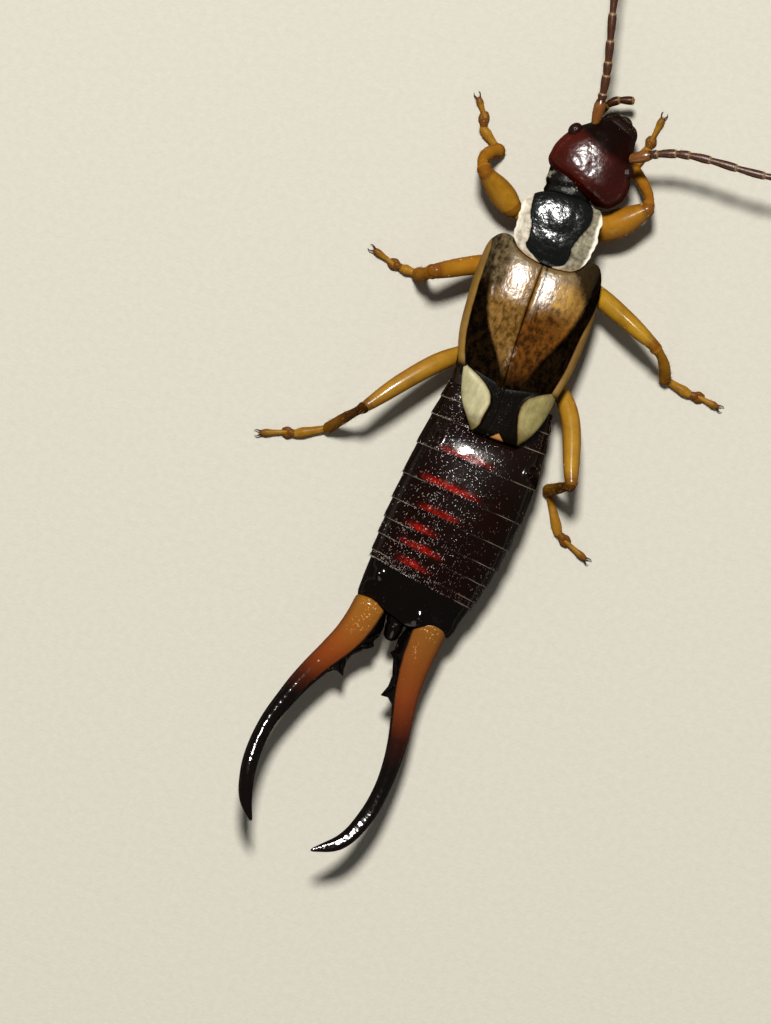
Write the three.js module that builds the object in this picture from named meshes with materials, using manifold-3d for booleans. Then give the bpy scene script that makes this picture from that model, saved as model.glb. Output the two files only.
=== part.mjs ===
// A male earwig with long forceps, standing on six feet, at life size.
// Millimetres, +Z up, the floor at z = 0 and the head towards -Y.
// A place on the animal is [right, ahead, up]: millimetres to its right and ahead of a point
// between its wing cases, and millimetres above the floor.
import * as THREE from 'three';
import { mergeVertices } from 'three/addons/utils/BufferGeometryUtils.js';
import Module from 'manifold-3d';

const wasm = await Module();
wasm.setup();

// Driving dimensions
const gap = 0.12; // clear space between two parts that meet
const boxRight = 2.0; // the middle of the animal's box, to the right of the point between the cases
const boxAhead = 4.5; // and ahead of it
const headTurn = THREE.MathUtils.degToRad(20); // the head looks to the animal's right
const headPlace = [0.335, 9.51]; // midway between the eyes
const headHalfWidth = 1.1;
const headBack = -1.1; // hind face of the head, from midway between the eyes
const headFront = 0.84; // front of the clypeus
const headTop = 1.98;
const headFloor = 0.72;
const eyeRadius = 0.2;
const pronotumHalfWidth = 1.04;
const pronotumFront = 8.2;
const pronotumBack = 6.4;
const pronotumTop = 2.12;
const plateThickness = 0.5; // pronotum, wing cases and wing tips
const caseSuture = 0.03; // where the two wing cases meet, to the animal's right
const caseBack = 3.25; // hind end of the wing cases
const wingTipEnd = 1.88; // hind end of the folded wings' tips
const thoraxFloor = 0.8;
const abdomenFront = 2.95;
const lastSegmentFront = -2.1;
const lastSegmentBack = -3.15;
const segmentStep = 0.045; // share of its girth by which a ring rises over the next one
const widestShare = 0.45; // share of the trunk's height at which it is widest
const forcepsHeight = 1.22; // middle of the forceps at their root
const forcepsTipHeight = 1.8;
const flangeBottom = 1.06; // the toothed flange along the root of each branch
const flangeThickness = 0.36;
const antennaRootWidth = 0.25; // half the thickness of the scape
const antennaTipWidth = 0.13; // half the thickness of the last segment
const antennaSegments = [0.63, 0.16, 0.46, 0.33, 0.52, 0.67, 0.7, 0.72, 0.74, 0.74, 0.72, 0.7, 0.66, 0.6];
const tibiaHalfWidth = 0.21;
const tarsusHalfWidth = 0.19;
const tarsusHeight = 0.16; // middle of a foot that lies on the floor
const clawHalfWidth = 0.09;
const clawSpread = 0.5; // radians by which each claw points aside
const palpHalfWidth = 0.17;

// Materials
const look = (color, roughness) => new THREE.MeshStandardMaterial({ color, roughness, metalness: 0 });
const looks = {
  head: look(0x4a1710, 0.28),
  face: look(0x1d0f0c, 0.3),
  eye: look(0x0c0a0a, 0.15),
  feeler: look(0x3a2318, 0.5),
  feelerRoot: look(0x8a4a1c, 0.4),
  pronotum: look(0x14100f, 0.2),
  thorax: look(0x2a1a14, 0.5),
  wingCase: look(0x9a6a35, 0.4),
  wingTip: look(0xb3ad84, 0.45),
  abdomen: look(0x231210, 0.35),
  forceps: look(0x7a3416, 0.22),
  leg: look(0xb8803a, 0.4),
  foot: look(0x9a6c38, 0.45),
};

// Numbers and places

const up = new THREE.Vector3(0, 0, 1);
const mix = THREE.MathUtils.lerp;

// A place on the animal as a point of the model.
const at = ([right, ahead, height]) => new THREE.Vector3(boxRight - right, boxAhead - ahead, height);

// A place in the head's own frame, which turns about the point midway between the eyes.
function onHead([right, ahead, height]) {
  const turned = new THREE.Vector2(right, ahead).rotateAround(new THREE.Vector2(), -headTurn);
  return at([headPlace[0] + turned.x, headPlace[1] + turned.y, height]);
}

// A smooth line through [where, value] pairs, with where rising.
function line(...pairs) {
  const curve = new THREE.CubicInterpolant(
    pairs.map(([where]) => where),
    pairs.map(([, value]) => value),
    1,
  );
  return (where) => curve.evaluate(where)[0];
}

// A coordinate of the unit circle, raised to a power below 1 to make the round section squarer.
const squared = (value, power) => Math.sign(value) * Math.abs(value) ** power;

// Solids

// A closed solid of a geometry, its faces turned outwards.
function solidOf(geometry) {
  geometry.deleteAttribute('normal');
  geometry.deleteAttribute('uv');
  const merged = mergeVertices(geometry);
  const corners = merged.index.array;
  const spots = merged.attributes.position;
  const [a, b, c] = [new THREE.Vector3(), new THREE.Vector3(), new THREE.Vector3()];
  const faces = [];
  let volume = 0;
  for (let i = 0; i < corners.length; i += 3) {
    const face = [corners[i], corners[i + 1], corners[i + 2]];
    if (new Set(face).size < 3) continue;
    faces.push(face);
    a.fromBufferAttribute(spots, face[0]);
    b.fromBufferAttribute(spots, face[1]);
    c.fromBufferAttribute(spots, face[2]);
    volume += a.dot(b.cross(c));
  }
  const outward = volume > 0 ? faces : faces.map((face) => face.reverse());
  return new wasm.Manifold(
    new wasm.Mesh({
      numProp: 3,
      vertProperties: Float32Array.from(spots.array),
      triVerts: Uint32Array.from(outward.flat()),
    }),
  );
}

// A cylinder's net of points carried to place(t, x, y): t is the share of its length, and (x, y)
// runs round the unit circle, and is (0, 0) in the middle of each end face.
function skinned(steps, sides, place) {
  const geometry = new THREE.CylinderGeometry(1, 1, 1, sides, steps);
  const spots = geometry.attributes.position;
  for (let i = 0; i < spots.count; i += 1) {
    const t = Math.round((0.5 - spots.getY(i)) * steps) / steps;
    const point = place(t, spots.getX(i), spots.getZ(i));
    spots.setXYZ(i, point.x, point.y, point.z);
  }
  return solidOf(geometry);
}

// A limb along a smooth path of points: size(t) gives half its width and half its height, and grow
// is added to them and to both ends.
function limb(points, size, steps, sides, grow = 0) {
  const path = new THREE.CatmullRomCurve3(points);
  return skinned(steps, sides, (t, x, y) => {
    const along = path.getTangentAt(t);
    const aside = new THREE.Vector3().crossVectors(along, up).normalize();
    const rise = new THREE.Vector3().crossVectors(aside, along);
    const [wide, high] = size(t);
    return path
      .getPointAt(t)
      .addScaledVector(along, grow * (2 * t - 1))
      .addScaledVector(aside, x * (wide + grow))
      .addScaledVector(rise, y * (high + grow));
  });
}

// A round limb whose half width follows [share of length, half width] pairs.
function roundLimb(points, widths, steps, sides, grow = 0) {
  const width = line(...widths);
  return limb(points, (t) => [width(t), width(t)], steps, sides, grow);
}

// A ball with its own half sizes along the model's axes.
function ball(centre, [sizeX, sizeY, sizeZ], sides) {
  const geometry = new THREE.SphereGeometry(1, sides, Math.round(sides / 2));
  geometry.scale(sizeX, sizeY, sizeZ);
  geometry.translate(centre.x, centre.y, centre.z);
  return solidOf(geometry);
}

// A length of the trunk: its section at each place of rings stands square to the middle line, and
// goes from low to high. The upper half is rounder than the lower one.
function trunk({ rings, sides, middle, half, low, high, square = 0.85, girth = () => 1 }, grow = 0) {
  const last = rings.length - 1;
  return skinned(last, sides, (t, x, y) => {
    const ring = Math.round(t * last);
    const end = ring === 0 ? -1 : Number(ring === last);
    const ahead = rings[ring] + grow * end * Math.sign(rings[last] - rings[0]);
    const lean = Math.atan((middle(ahead + 0.1) - middle(ahead - 0.1)) / 0.2);
    const swell = girth(ring);
    const across = squared(x, square) * (half(ahead) * swell + grow);
    const centre = mix(low(ahead), high(ahead), widestShare);
    const reach = y > 0 ? high(ahead) - centre : centre - low(ahead);
    const height = centre + squared(y, square) * (reach * swell + grow);
    return at([
      middle(ahead) + across * Math.cos(lean),
      ahead - across * Math.sin(lean),
      height,
    ]);
  });
}

// A domed plate over the back: its edges run from inner to outer, its upper face lies at top, and
// its front and hind edges are set ahead or back by skewFront and skewBack, from -1 at the inner
// edge to 1 at the outer one.
function plate(shape, grow = 0) {
  const { front, back, inner, outer, top, steps, sides } = shape;
  const { skewFront = () => 0, skewBack = () => 0, thickness = () => plateThickness } = shape;
  return skinned(steps, sides, (t, x, y) => {
    const across = squared(x, 0.8);
    const ahead = mix(front, back, t);
    const centre = (inner(ahead) + outer(ahead)) / 2;
    const half = (outer(ahead) - inner(ahead)) / 2;
    const right = centre + across * (half + grow * Math.sign(half));
    const shift = mix(skewFront(across), skewBack(across), t);
    const spot = ahead + shift + grow * (1 - 2 * t);
    const depth = thickness(t) / 2;
    const height = top(right, ahead) - depth + squared(y, 0.6) * (depth + grow);
    return at([right, spot, height]);
  });
}

// A solid less the others.
const less = (solid, ...others) => others.reduce((rest, other) => rest.subtract(other), solid);

// A solid joined with the others.
const joined = (solid, ...others) => others.reduce((whole, other) => whole.add(other), solid);

// Everything below the floor, as a slab for cutting the feet flat.
function belowFloor() {
  const slab = new THREE.BoxGeometry(40, 40, 2);
  slab.translate(0, 0, -1);
  return solidOf(slab);
}

// A named mesh of the largest body in a solid.
function node(name, solid, material) {
  const [body] = solid.decompose().sort((a, b) => b.volume() - a.volume());
  const { vertProperties, triVerts } = body.getMesh();
  const geometry = new THREE.BufferGeometry();
  geometry.setAttribute('position', new THREE.Float32BufferAttribute(vertProperties, 3));
  geometry.setIndex(Array.from(triVerts));
  geometry.computeVertexNormals();
  const mesh = new THREE.Mesh(geometry, material);
  mesh.name = name;
  return mesh;
}

// Head

// The head capsule, widest behind the eyes, with a blunt hind face, a sloping front and a middle
// line that bends a little to the right at the back.
function headCapsule(grow = 0) {
  const half = line(
    [-1.1, 0.68],
    [-0.98, 0.9],
    [-0.7, headHalfWidth - 0.03],
    [-0.3, headHalfWidth],
    [0.1, 0.9],
    [0.5, 0.67],
    [0.84, 0.4],
  );
  const middleLine = line([-1.1, 0.06], [-0.7, 0.1], [-0.3, 0.1], [0.1, 0.02], [0.84, 0.03]);
  const high = line([-1.1, 1.7], [-0.8, 1.93], [-0.4, headTop], [0.1, 1.9], [0.5, 1.74], [0.84, 1.5]);
  const low = line([-1.1, 0.9], [-0.8, headFloor], [-0.3, headFloor], [0.5, 0.84], [0.84, 1.0]);
  return skinned(11, 24, (t, x, y) => {
    const ahead = mix(headBack, headFront, t) + grow * (2 * t - 1);
    const middle = (high(ahead) + low(ahead)) / 2;
    const depth = (high(ahead) - low(ahead)) / 2;
    const across = middleLine(ahead) + squared(x, 0.9) * (half(ahead) + grow);
    return onHead([across, ahead, middle + squared(y, 0.8) * (depth + grow)]);
  });
}

// One compound eye, a low bulge at the side of the head.
function eye(side, grow = 0) {
  const sizes = [eyeRadius * 0.8 + grow, eyeRadius + grow, eyeRadius + grow];
  const geometry = new THREE.SphereGeometry(1, 12, 8);
  geometry.scale(...sizes);
  geometry.rotateZ(-headTurn);
  const centre = onHead([side * 0.86, 0.07, 1.52]);
  geometry.translate(centre.x, centre.y, centre.z);
  return solidOf(geometry);
}

// The upper lip, in front of the clypeus.
function labrum() {
  const half = line([0.84, 0.4], [1.0, 0.36], [1.14, 0.2]);
  return skinned(4, 16, (t, x, y) => {
    const ahead = mix(headFront + gap, 1.16, t);
    return onHead([
      squared(x, 0.8) * half(ahead),
      ahead,
      mix(1.35, 1.22, t) + y * mix(0.21, 0.12, t),
    ]);
  });
}

// One jaw, curving in under the upper lip to a pointed tip.
function mandible(side, grow = 0) {
  const points = [
    [side * 0.42, 0.62, 0.9],
    [side * 0.42, 0.86, 0.88],
    [side * 0.1, 1.08, 0.86],
  ];
  return roundLimb(points.map(onHead), [[0, 0.17], [0.5, 0.16], [1, 0.05]], 4, 8, grow);
}

// The lower lip, a plate under the mouth.
function labium() {
  const points = [
    [0, 0.3, 0.53],
    [0, 0.75, 0.52],
    [0, 1.1, 0.56],
  ];
  return limb(points.map(onHead), (t) => [mix(0.3, 0.18, t), 0.12], 3, 10);
}

// The paths of the maxillary palps: the left one reaches forwards beside the mouth, and the right
// one is lowered towards the floor.
const palpPaths = {
  left: [
    [-0.5, 0.5, 0.72],
    [-0.64, 0.95, 0.72],
    [-0.52, 1.25, 0.74],
    [-0.2, 1.54, 0.76],
  ],
  right: [
    [0.48, 0.5, 0.7],
    [0.56, 0.74, 0.62],
    [0.5, 0.95, 0.52],
    [0.38, 1.1, 0.43],
  ],
};

// One maxillary palp, its four joints a little narrower.
function palp(side) {
  const wave = (t) => palpHalfWidth * (1 - 0.3 * t) * (1 + 0.12 * Math.cos(8 * Math.PI * t));
  return limb(palpPaths[side].map(onHead), (t) => [wave(t), wave(t)], 9, 7);
}

// Feelers

// The path of each feeler: a root on the head's front corner and a slow curve forwards.
const feelerPaths = {
  left: [
    [-0.04, 10.2, 1.45],
    [-0.1, 10.95, 1.62],
    [-0.62, 13.1, 1.9],
    [-1.3, 15.8, 1.85],
    [-2.1, 18.35, 1.35],
  ],
  right: [
    [1.08, 9.62, 1.45],
    [1.78, 10.02, 1.62],
    [4.6, 10.42, 1.95],
    [7.0, 10.95, 1.85],
    [9.1, 11.9, 1.35],
  ],
};

// A stretch of a feeler from one of its segments to another, each pinched at its joints.
function feeler(side, first, last, grow = 0) {
  const path = new THREE.CatmullRomCurve3(feelerPaths[side].map(at));
  const whole = antennaSegments.reduce((sum, length) => sum + length, 0);
  const ends = [0];
  antennaSegments.forEach((length) => ends.push(ends.at(-1) + length));
  const cuts = [];
  for (let i = first; i <= last; i += 1) {
    cuts.push([mix(ends[i], ends[i + 1], 0.02), 0.86]);
    cuts.push([mix(ends[i], ends[i + 1], 0.4), 1]);
    cuts.push([mix(ends[i], ends[i + 1], 0.96), 0.96]);
  }
  cuts[0][0] += first === 0 ? 0 : gap;
  cuts[0][0] -= grow;
  cuts.at(-1)[0] += grow;
  return skinned(cuts.length - 1, 8, (t, x, y) => {
    const [reach, pinch] = cuts[Math.round(t * (cuts.length - 1))];
    const share = THREE.MathUtils.clamp(reach / whole, 0, 1);
    const along = path.getTangentAt(share);
    const aside = new THREE.Vector3().crossVectors(along, up).normalize();
    const rise = new THREE.Vector3().crossVectors(aside, along);
    const width = mix(antennaRootWidth, antennaTipWidth, share) * pinch + grow;
    return path.getPointAt(share).addScaledVector(aside, x * width).addScaledVector(rise, y * width);
  });
}

// Neck and thorax

function neck() {
  const points = [
    [0.0, 7.98, 1.22],
    [-0.06, 8.3, 1.26],
    [-0.16, 8.7, 1.3],
  ];
  return limb(points.map(at), () => [0.6, 0.4], 4, 20);
}

// The domed shield behind the head, with round hind corners.
function pronotum(grow = 0) {
  const half = line(
    [pronotumBack, 0.4],
    [6.5, 0.68],
    [6.7, 0.9],
    [7.1, 1.02],
    [7.7, pronotumHalfWidth],
    [pronotumFront, 0.92],
  );
  return plate(
    {
      front: pronotumFront,
      back: pronotumBack,
      inner: (ahead) => -half(ahead),
      outer: half,
      top: (right, ahead) => pronotumTop - 0.16 * right ** 2 - 0.08 * (ahead - 7.3) ** 2,
      steps: 8,
      sides: 24,
    },
    grow,
  );
}

// The first ring of the thorax, under the shield, which carries the fore legs.
function prothorax(grow = 0) {
  return trunk(
    {
      rings: [8.02, 7.7, 7.2, 6.8, 6.66],
      sides: 20,
      middle: () => 0,
      half: line([6.66, 0.7], [7.2, 0.8], [8.02, 0.62]),
      low: line([6.66, 0.86], [7.2, thoraxFloor], [8.02, 0.92]),
      high: () => 1.46,
    },
    grow,
  );
}

// The second and third rings of the thorax, under the wing cases.
function pterothorax(grow = 0) {
  return trunk(
    {
      rings: [6.54, 6.2, 5.4, 4.4, 3.6, 3.1],
      sides: 24,
      middle: () => 0.08,
      half: line([3.1, 1.25], [3.6, 1.34], [5.4, 1.36], [6.2, 1.26], [6.54, 1.0]),
      low: line([3.1, 0.78], [4.4, thoraxFloor], [6.54, 0.86]),
      high: () => 1.6,
    },
    grow,
  );
}

// Wing cases and wing tips

// The height of the folded wings' upper face: a low vault that turns down steeply at the sides.
function wingTop(right, ahead) {
  const ridge = line([1.9, 2.16], [3.2, 2.2], [4.5, 2.28], [5.8, 2.26], [6.7, 2.08]);
  const spread = Math.abs(right - 0.05) / 1.62;
  return ridge(ahead) - 0.18 * spread ** 2 - 0.7 * spread ** 7;
}

// Outer edges of the wing cases, from hind to front.
const caseEdges = {
  left: line([3.2, -1.12], [4.0, -1.4], [5.0, -1.53], [5.8, -1.55], [6.3, -1.5], [6.7, -1.3]),
  right: line([3.2, 1.42], [4.0, 1.58], [5.0, 1.65], [5.8, 1.6], [6.3, 1.5], [6.7, 1.3]),
};

// One wing case. Its front follows the round edge of the pronotum, and its hind edge slants.
function wingCase(side, grow = 0) {
  const sign = side === 'left' ? -1 : 1;
  return plate(
    {
      front: 6.42,
      back: caseBack,
      inner: () => caseSuture + (sign * gap) / 2,
      outer: caseEdges[side],
      top: wingTop,
      skewFront: (across) => {
        const out = (across + 1) / 2;
        return -0.14 + 0.95 * out ** 2 - 0.8 * out ** 10;
      },
      skewBack: (across) => 0.14 * across,
      steps: 9,
      sides: 20,
    },
    grow,
  );
}

// Plan edges of the two wing tips, from their hind end to the wing cases.
const wingTipEdges = {
  left: {
    inner: line([wingTipEnd, 0.14], [2.3, 0.26]),
    outer: line([wingTipEnd, -0.28], [2.1, -0.45], [2.5, -0.74], [3.0, -0.95], [3.3, -1.02]),
  },
  right: {
    inner: line([wingTipEnd, 0.52], [2.3, 0.38]),
    outer: line([wingTipEnd, 0.8], [2.1, 1.02], [2.5, 1.28], [3.0, 1.39], [3.3, 1.42]),
  },
};

// The tip of one folded hind wing, which shows behind the wing case.
function wingTip(side) {
  const { inner, outer } = wingTipEdges[side];
  return plate({
    front: caseBack - gap,
    back: wingTipEnd,
    inner,
    outer,
    top: (right, ahead) => wingTop(right, ahead) - 0.04,
    skewFront: (across) => 0.14 * across,
    thickness: (t) => mix(0.62, 0.4, t),
    steps: 5,
    sides: 14,
  });
}

// Abdomen

// The middle line of the abdomen, which bends to the animal's left towards the forceps.
const spine = line(
  [-3.2, -0.28],
  [-2.5, -0.22],
  [-2, -0.15],
  [-1, -0.025],
  [0, 0.065],
  [1, 0.13],
  [3, 0.15],
);

// Half its width, and the heights of its lower and upper face.
const abdomenHalf = line(
  [-3.2, 1.26],
  [-2.9, 1.31],
  [-2, 1.47],
  [-1, 1.59],
  [0, 1.63],
  [1, 1.62],
  [2, 1.53],
  [3, 1.38],
);
const abdomenLow = line([-3.2, 0.84], [-2.6, 0.68], [-1, 0.58], [0.5, 0.55], [2, 0.6], [3, 0.74]);
const abdomenHigh = line(
  [-3.2, 1.6],
  [-2.6, 1.82],
  [-1, 2.1],
  [0.5, 2.14],
  [1.5, 2.02],
  [2.2, 1.66],
  [3, 1.5],
);

// Hind edges of the rings of the abdomen.
const ringEdges = [2.45, 1.95, 1.08, 0.2, -0.5, -1.05, -1.5, -1.95, lastSegmentFront];

// The rings of the abdomen, each of which widens backwards and rises over the next.
function abdomen(grow = 0) {
  const rings = [abdomenFront];
  const swells = [1];
  ringEdges.forEach((edge, i) => {
    const front = i === 0 ? abdomenFront : ringEdges[i - 1];
    if (i > 0) {
      rings.push(front - 0.03);
      swells.push(1 - segmentStep);
    }
    rings.push(mix(front, edge, 0.55));
    swells.push(1 - segmentStep * 0.3);
    rings.push(edge);
    swells.push(1);
  });
  return trunk(
    {
      rings,
      sides: 24,
      middle: spine,
      half: abdomenHalf,
      low: abdomenLow,
      high: abdomenHigh,
      girth: (ring) => swells[ring],
    },
    grow,
  );
}

// The small gland swelling at each side of the fourth ring.
function glandSwelling(right, ahead) {
  return ball(at([right, ahead, 1.72]), [0.2, 0.26, 0.16], 10);
}

// The broad last ring, with a low swelling over the root of each branch of the forceps.
function lastSegment(grow = 0) {
  const ring = trunk(
    {
      rings: [lastSegmentFront - gap, -2.5, -2.85, -3.05, lastSegmentBack],
      sides: 24,
      middle: spine,
      half: abdomenHalf,
      low: abdomenLow,
      high: abdomenHigh,
      girth: (place) => [0.97, 0.98, 1, 1, 0.95][place],
    },
    grow,
  );
  const swellings = [-0.95, 0.45].map((right) => ball(at([right, -2.86, 1.55]), [0.34, 0.26, 0.22], 12));
  return joined(ring, ...swellings);
}

// Forceps

// Each branch of the forceps: how high its arm lies along its length, the arm's middle line, and
// the plan outline of the toothed flange along the inner side of its root.
const forceps = {
  left: {
    height: line([0, forcepsHeight], [0.4, 1.26], [0.5, 1.35], [0.75, 1.72], [1, forcepsTipHeight]),
    arm: [
      [-1.14, -3.3],
      [-1.36, -4.0],
      [-1.66, -4.5],
      [-1.95, -5.0],
      [-2.19, -5.5],
      [-2.36, -6.0],
      [-2.6, -6.9],
      [-2.67, -7.6],
      [-2.58, -8.2],
      [-2.36, -8.8],
      [-2.05, -9.2],
    ],
    flange: [
      [-1.2, -3.35],
      [-0.72, -3.4],
      [-0.66, -3.75],
      [-0.78, -3.94],
      [-0.73, -4.07],
      [-0.86, -4.17],
      [-1.14, -4.42],
      [-1.22, -4.64],
      [-1.2, -5.0],
      [-1.34, -4.93],
      [-1.45, -4.94],
      [-1.7, -5.18],
      [-2.06, -5.8],
      [-2.3, -5.7],
    ],
  },
  right: {
    height: line([0, forcepsHeight], [0.35, 1.25], [0.72, 1.37], [0.96, 1.74], [1, forcepsTipHeight]),
    arm: [
      [0.44, -3.35],
      [0.38, -4.0],
      [0.42, -4.5],
      [0.5, -5.0],
      [0.6, -5.5],
      [0.68, -6.0],
      [0.75, -6.8],
      [0.7, -7.5],
      [0.6, -8.1],
      [0.2, -8.95],
      [-0.45, -9.38],
    ],
    flange: [
      [0.6, -3.4],
      [-0.04, -3.4],
      [-0.06, -3.72],
      [-0.26, -3.8],
      [-0.26, -4.02],
      [-0.12, -4.1],
      [-0.1, -4.3],
      [-0.02, -4.36],
      [-0.02, -4.6],
      [0.06, -4.68],
      [0.04, -4.98],
      [-0.12, -5.12],
      [-0.04, -5.26],
      [0.3, -5.5],
      [0.5, -5.6],
    ],
  },
};

// One branch: a tapering, rounded arm that rises slowly to its hooked tip, and the toothed flange
// beside its root.
function forcepsBranch(side, grow = 0) {
  const { height, arm, flange } = forceps[side];
  const points = arm.map(([right, ahead], i) => at([right, ahead, height(i / (arm.length - 1))]));
  const wide = line([0, 0.42], [0.15, 0.38], [0.4, 0.27], [0.6, 0.23], [0.92, 0.19], [1, 0.05]);
  const high = line([0, 0.32], [0.4, 0.27], [0.6, 0.24], [0.92, 0.19], [1, 0.05]);
  const branch = limb(points, (t) => [wide(t), high(t)], 22, 12, grow);
  const outline = flange.map(([right, ahead]) => {
    const { x, y } = at([right, ahead, 0]);
    return new THREE.Vector2(x, y);
  });
  const ledge = new THREE.ExtrudeGeometry(new THREE.Shape(outline), {
    depth: flangeThickness + 2 * grow,
    bevelEnabled: false,
  });
  ledge.translate(0, 0, flangeBottom - grow);
  return joined(branch, solidOf(ledge));
}

// The small plate between the roots of the forceps.
function pygidium() {
  const points = [
    [-0.4, -3.24, 1.22],
    [-0.4, -3.45, 1.2],
    [-0.4, -3.66, 1.16],
  ];
  return limb(points.map(at), (t) => [mix(0.24, 0.18, t), mix(0.3, 0.2, t)], 3, 12);
}

// Legs

// Each leg's places, from the hip outwards, and the half width of its femur.
const legs = {
  fore_left: {
    coxa: [[-0.32, 7.4, 0.86], [-0.6, 7.26, 0.56]],
    femur: [[-0.72, 7.22, 0.62], [-1.4, 7.6, 0.95], [-2.22, 8.05, 1.42]],
    tibia: [[-2.35, 8.15, 1.42], [-2.4, 8.46, 0.9], [-2.14, 8.74, 0.3]],
    foot: [[-2.12, 8.82, 0.24], [-2.6, 9.14], [-2.74, 9.47], [-2.96, 9.8]],
    width: 0.32,
  },
  fore_right: {
    coxa: [[0.28, 7.35, 0.86], [0.52, 7.3, 0.56]],
    femur: [[0.6, 7.34, 0.62], [1.24, 7.92, 0.88], [1.92, 8.6, 1.12]],
    tibia: [[1.98, 8.74, 1.14], [1.84, 9.14, 0.75], [1.38, 9.5, 0.3]],
    foot: [[1.36, 9.58, 0.24], [1.46, 10.12], [1.48, 10.42], [1.52, 10.9]],
    width: 0.34,
  },
  mid_left: {
    coxa: [[-0.45, 5.9, 0.86], [-0.76, 6.12, 0.56]],
    femur: [[-0.86, 6.17, 0.62], [-1.6, 5.86, 1.0], [-2.56, 5.34, 1.5]],
    tibia: [[-2.64, 5.24, 1.5], [-2.8, 5.17, 0.9], [-2.92, 5.16, 0.3]],
    foot: [[-2.98, 5.17, 0.24], [-3.38, 5.16], [-3.68, 5.21], [-4.13, 5.34]],
    width: 0.25,
  },
  mid_right: {
    coxa: [[0.5, 6.1, 0.86], [0.78, 6.32, 0.56]],
    femur: [[0.88, 6.36, 0.62], [1.9, 6.02, 0.95], [3.2, 5.5, 1.34]],
    tibia: [[3.32, 5.42, 1.34], [3.66, 5.14, 0.85], [3.88, 4.84, 0.3]],
    foot: [[3.96, 4.76, 0.24], [4.6, 4.62], [4.94, 4.67], [5.34, 4.59]],
    width: 0.25,
  },
  hind_left: {
    coxa: [[-0.55, 3.45, 0.86], [-0.88, 3.74, 0.56]],
    femur: [[-1.0, 3.82, 0.62], [-1.75, 3.1, 1.0], [-2.9, 1.6, 1.54]],
    tibia: [[-3.02, 1.5, 1.54], [-3.4, 1.12, 0.9], [-3.68, 0.82, 0.3]],
    foot: [[-3.75, 0.75, 0.24], [-4.44, 0.33], [-4.75, 0.25], [-5.23, 0.06]],
    width: 0.24,
  },
  hind_right: {
    coxa: [[0.7, 3.45, 0.86], [1.04, 3.76, 0.56]],
    femur: [[1.14, 3.9, 0.62], [1.76, 3.3, 1.0], [2.53, 1.56, 1.72]],
    tibia: [[2.58, 1.42, 1.74], [2.34, 1.3, 1.0], [2.15, 1.18, 0.3]],
    foot: [[2.2, 1.08, 0.24], [2.7, 0.32], [3.0, 0.1], [3.52, -0.11]],
    width: 0.24,
  },
};

function coxa(leg, grow = 0) {
  return roundLimb(leg.coxa.map(at), [[0, 0.3], [0.6, 0.27], [1, 0.16]], 3, 10, grow);
}

function femur(leg, grow = 0) {
  const widths = [[0, 0.17], [0.25, leg.width], [0.6, leg.width * 0.98], [0.9, 0.2], [1, 0.16]];
  return roundLimb(leg.femur.map(at), widths, 6, 9, grow);
}

function tibia(leg, grow = 0) {
  return roundLimb(leg.tibia.map(at), [[0, 0.17], [0.25, tibiaHalfWidth], [1, 0.2]], 5, 8, grow);
}

// A foot of three segments that lies on the floor on small flats, the second one with wide lobes
// at its end, and the third with two claws.
function foot(leg) {
  const [root, ...joints] = leg.foot;
  const [first, second, third] = joints.map(([right, ahead]) => at([right, ahead, tarsusHeight]));
  const start = at(root);
  const width = tarsusHalfWidth;
  const segments = [
    roundLimb([start, mixed(start, first, 0.6), first], [[0, width * 0.92], [1, width]], 2, 7),
    limb([mixed(first, second, -0.1), second], (t) => [mix(0.15, 0.24, t), mix(0.15, 0.18, t)], 2, 7),
    limb([mixed(second, third, -0.1), third], (t) => [mix(0.14, 0.19, t), mix(0.14, 0.18, t)], 2, 7),
  ];
  const ahead = new THREE.Vector3().subVectors(third, second).normalize();
  const claws = [-1, 1].map((side) => {
    const out = ahead.clone().applyAxisAngle(up, side * clawSpread);
    const points = [
      third.clone().addScaledVector(ahead, -0.1),
      third.clone().addScaledVector(out, 0.14).add(new THREE.Vector3(0, 0, 0.02)),
      third.clone().addScaledVector(out, 0.32).add(new THREE.Vector3(0, 0, -0.08)),
    ];
    return roundLimb(points, [[0, clawHalfWidth], [0.6, clawHalfWidth * 0.8], [1, 0.03]], 2, 5);
  });
  return less(joined(...segments, ...claws), belowFloor());
}

// A point on the line from a to b.
function mixed(a, b, share) {
  return new THREE.Vector3().lerpVectors(a, b, share);
}

// The animal

const earwig = new THREE.Group();
const sides = { left: -1, right: 1 };

const headNear = headCapsule(gap);
const prothoraxNear = prothorax(gap);
const thoraxNear = pterothorax(gap);
const abdomenNear = abdomen(gap);
const lastNear = lastSegment(gap);
const casesNear = joined(wingCase('left', gap), wingCase('right', gap));

earwig.add(
  node('head', less(headCapsule(), eye(-1, gap / 2), eye(1, gap / 2)), looks.head),
  node('labrum', labrum(), looks.face),
  node('labium', labium(), looks.face),
  node('neck', less(neck(), headNear, prothoraxNear), looks.thorax),
  node('pronotum', less(pronotum(), headNear), looks.pronotum),
  node('prothorax', less(prothorax(), pronotum(gap)), looks.thorax),
  node('pterothorax', less(pterothorax(), casesNear), looks.thorax),
  node('abdomen', joined(abdomen(), glandSwelling(-1.0, 1.45), glandSwelling(1.36, 1.35)), looks.abdomen),
  node('last_segment', lastSegment(), looks.abdomen),
  node('pygidium', less(pygidium(), lastNear), looks.abdomen),
);

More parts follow.
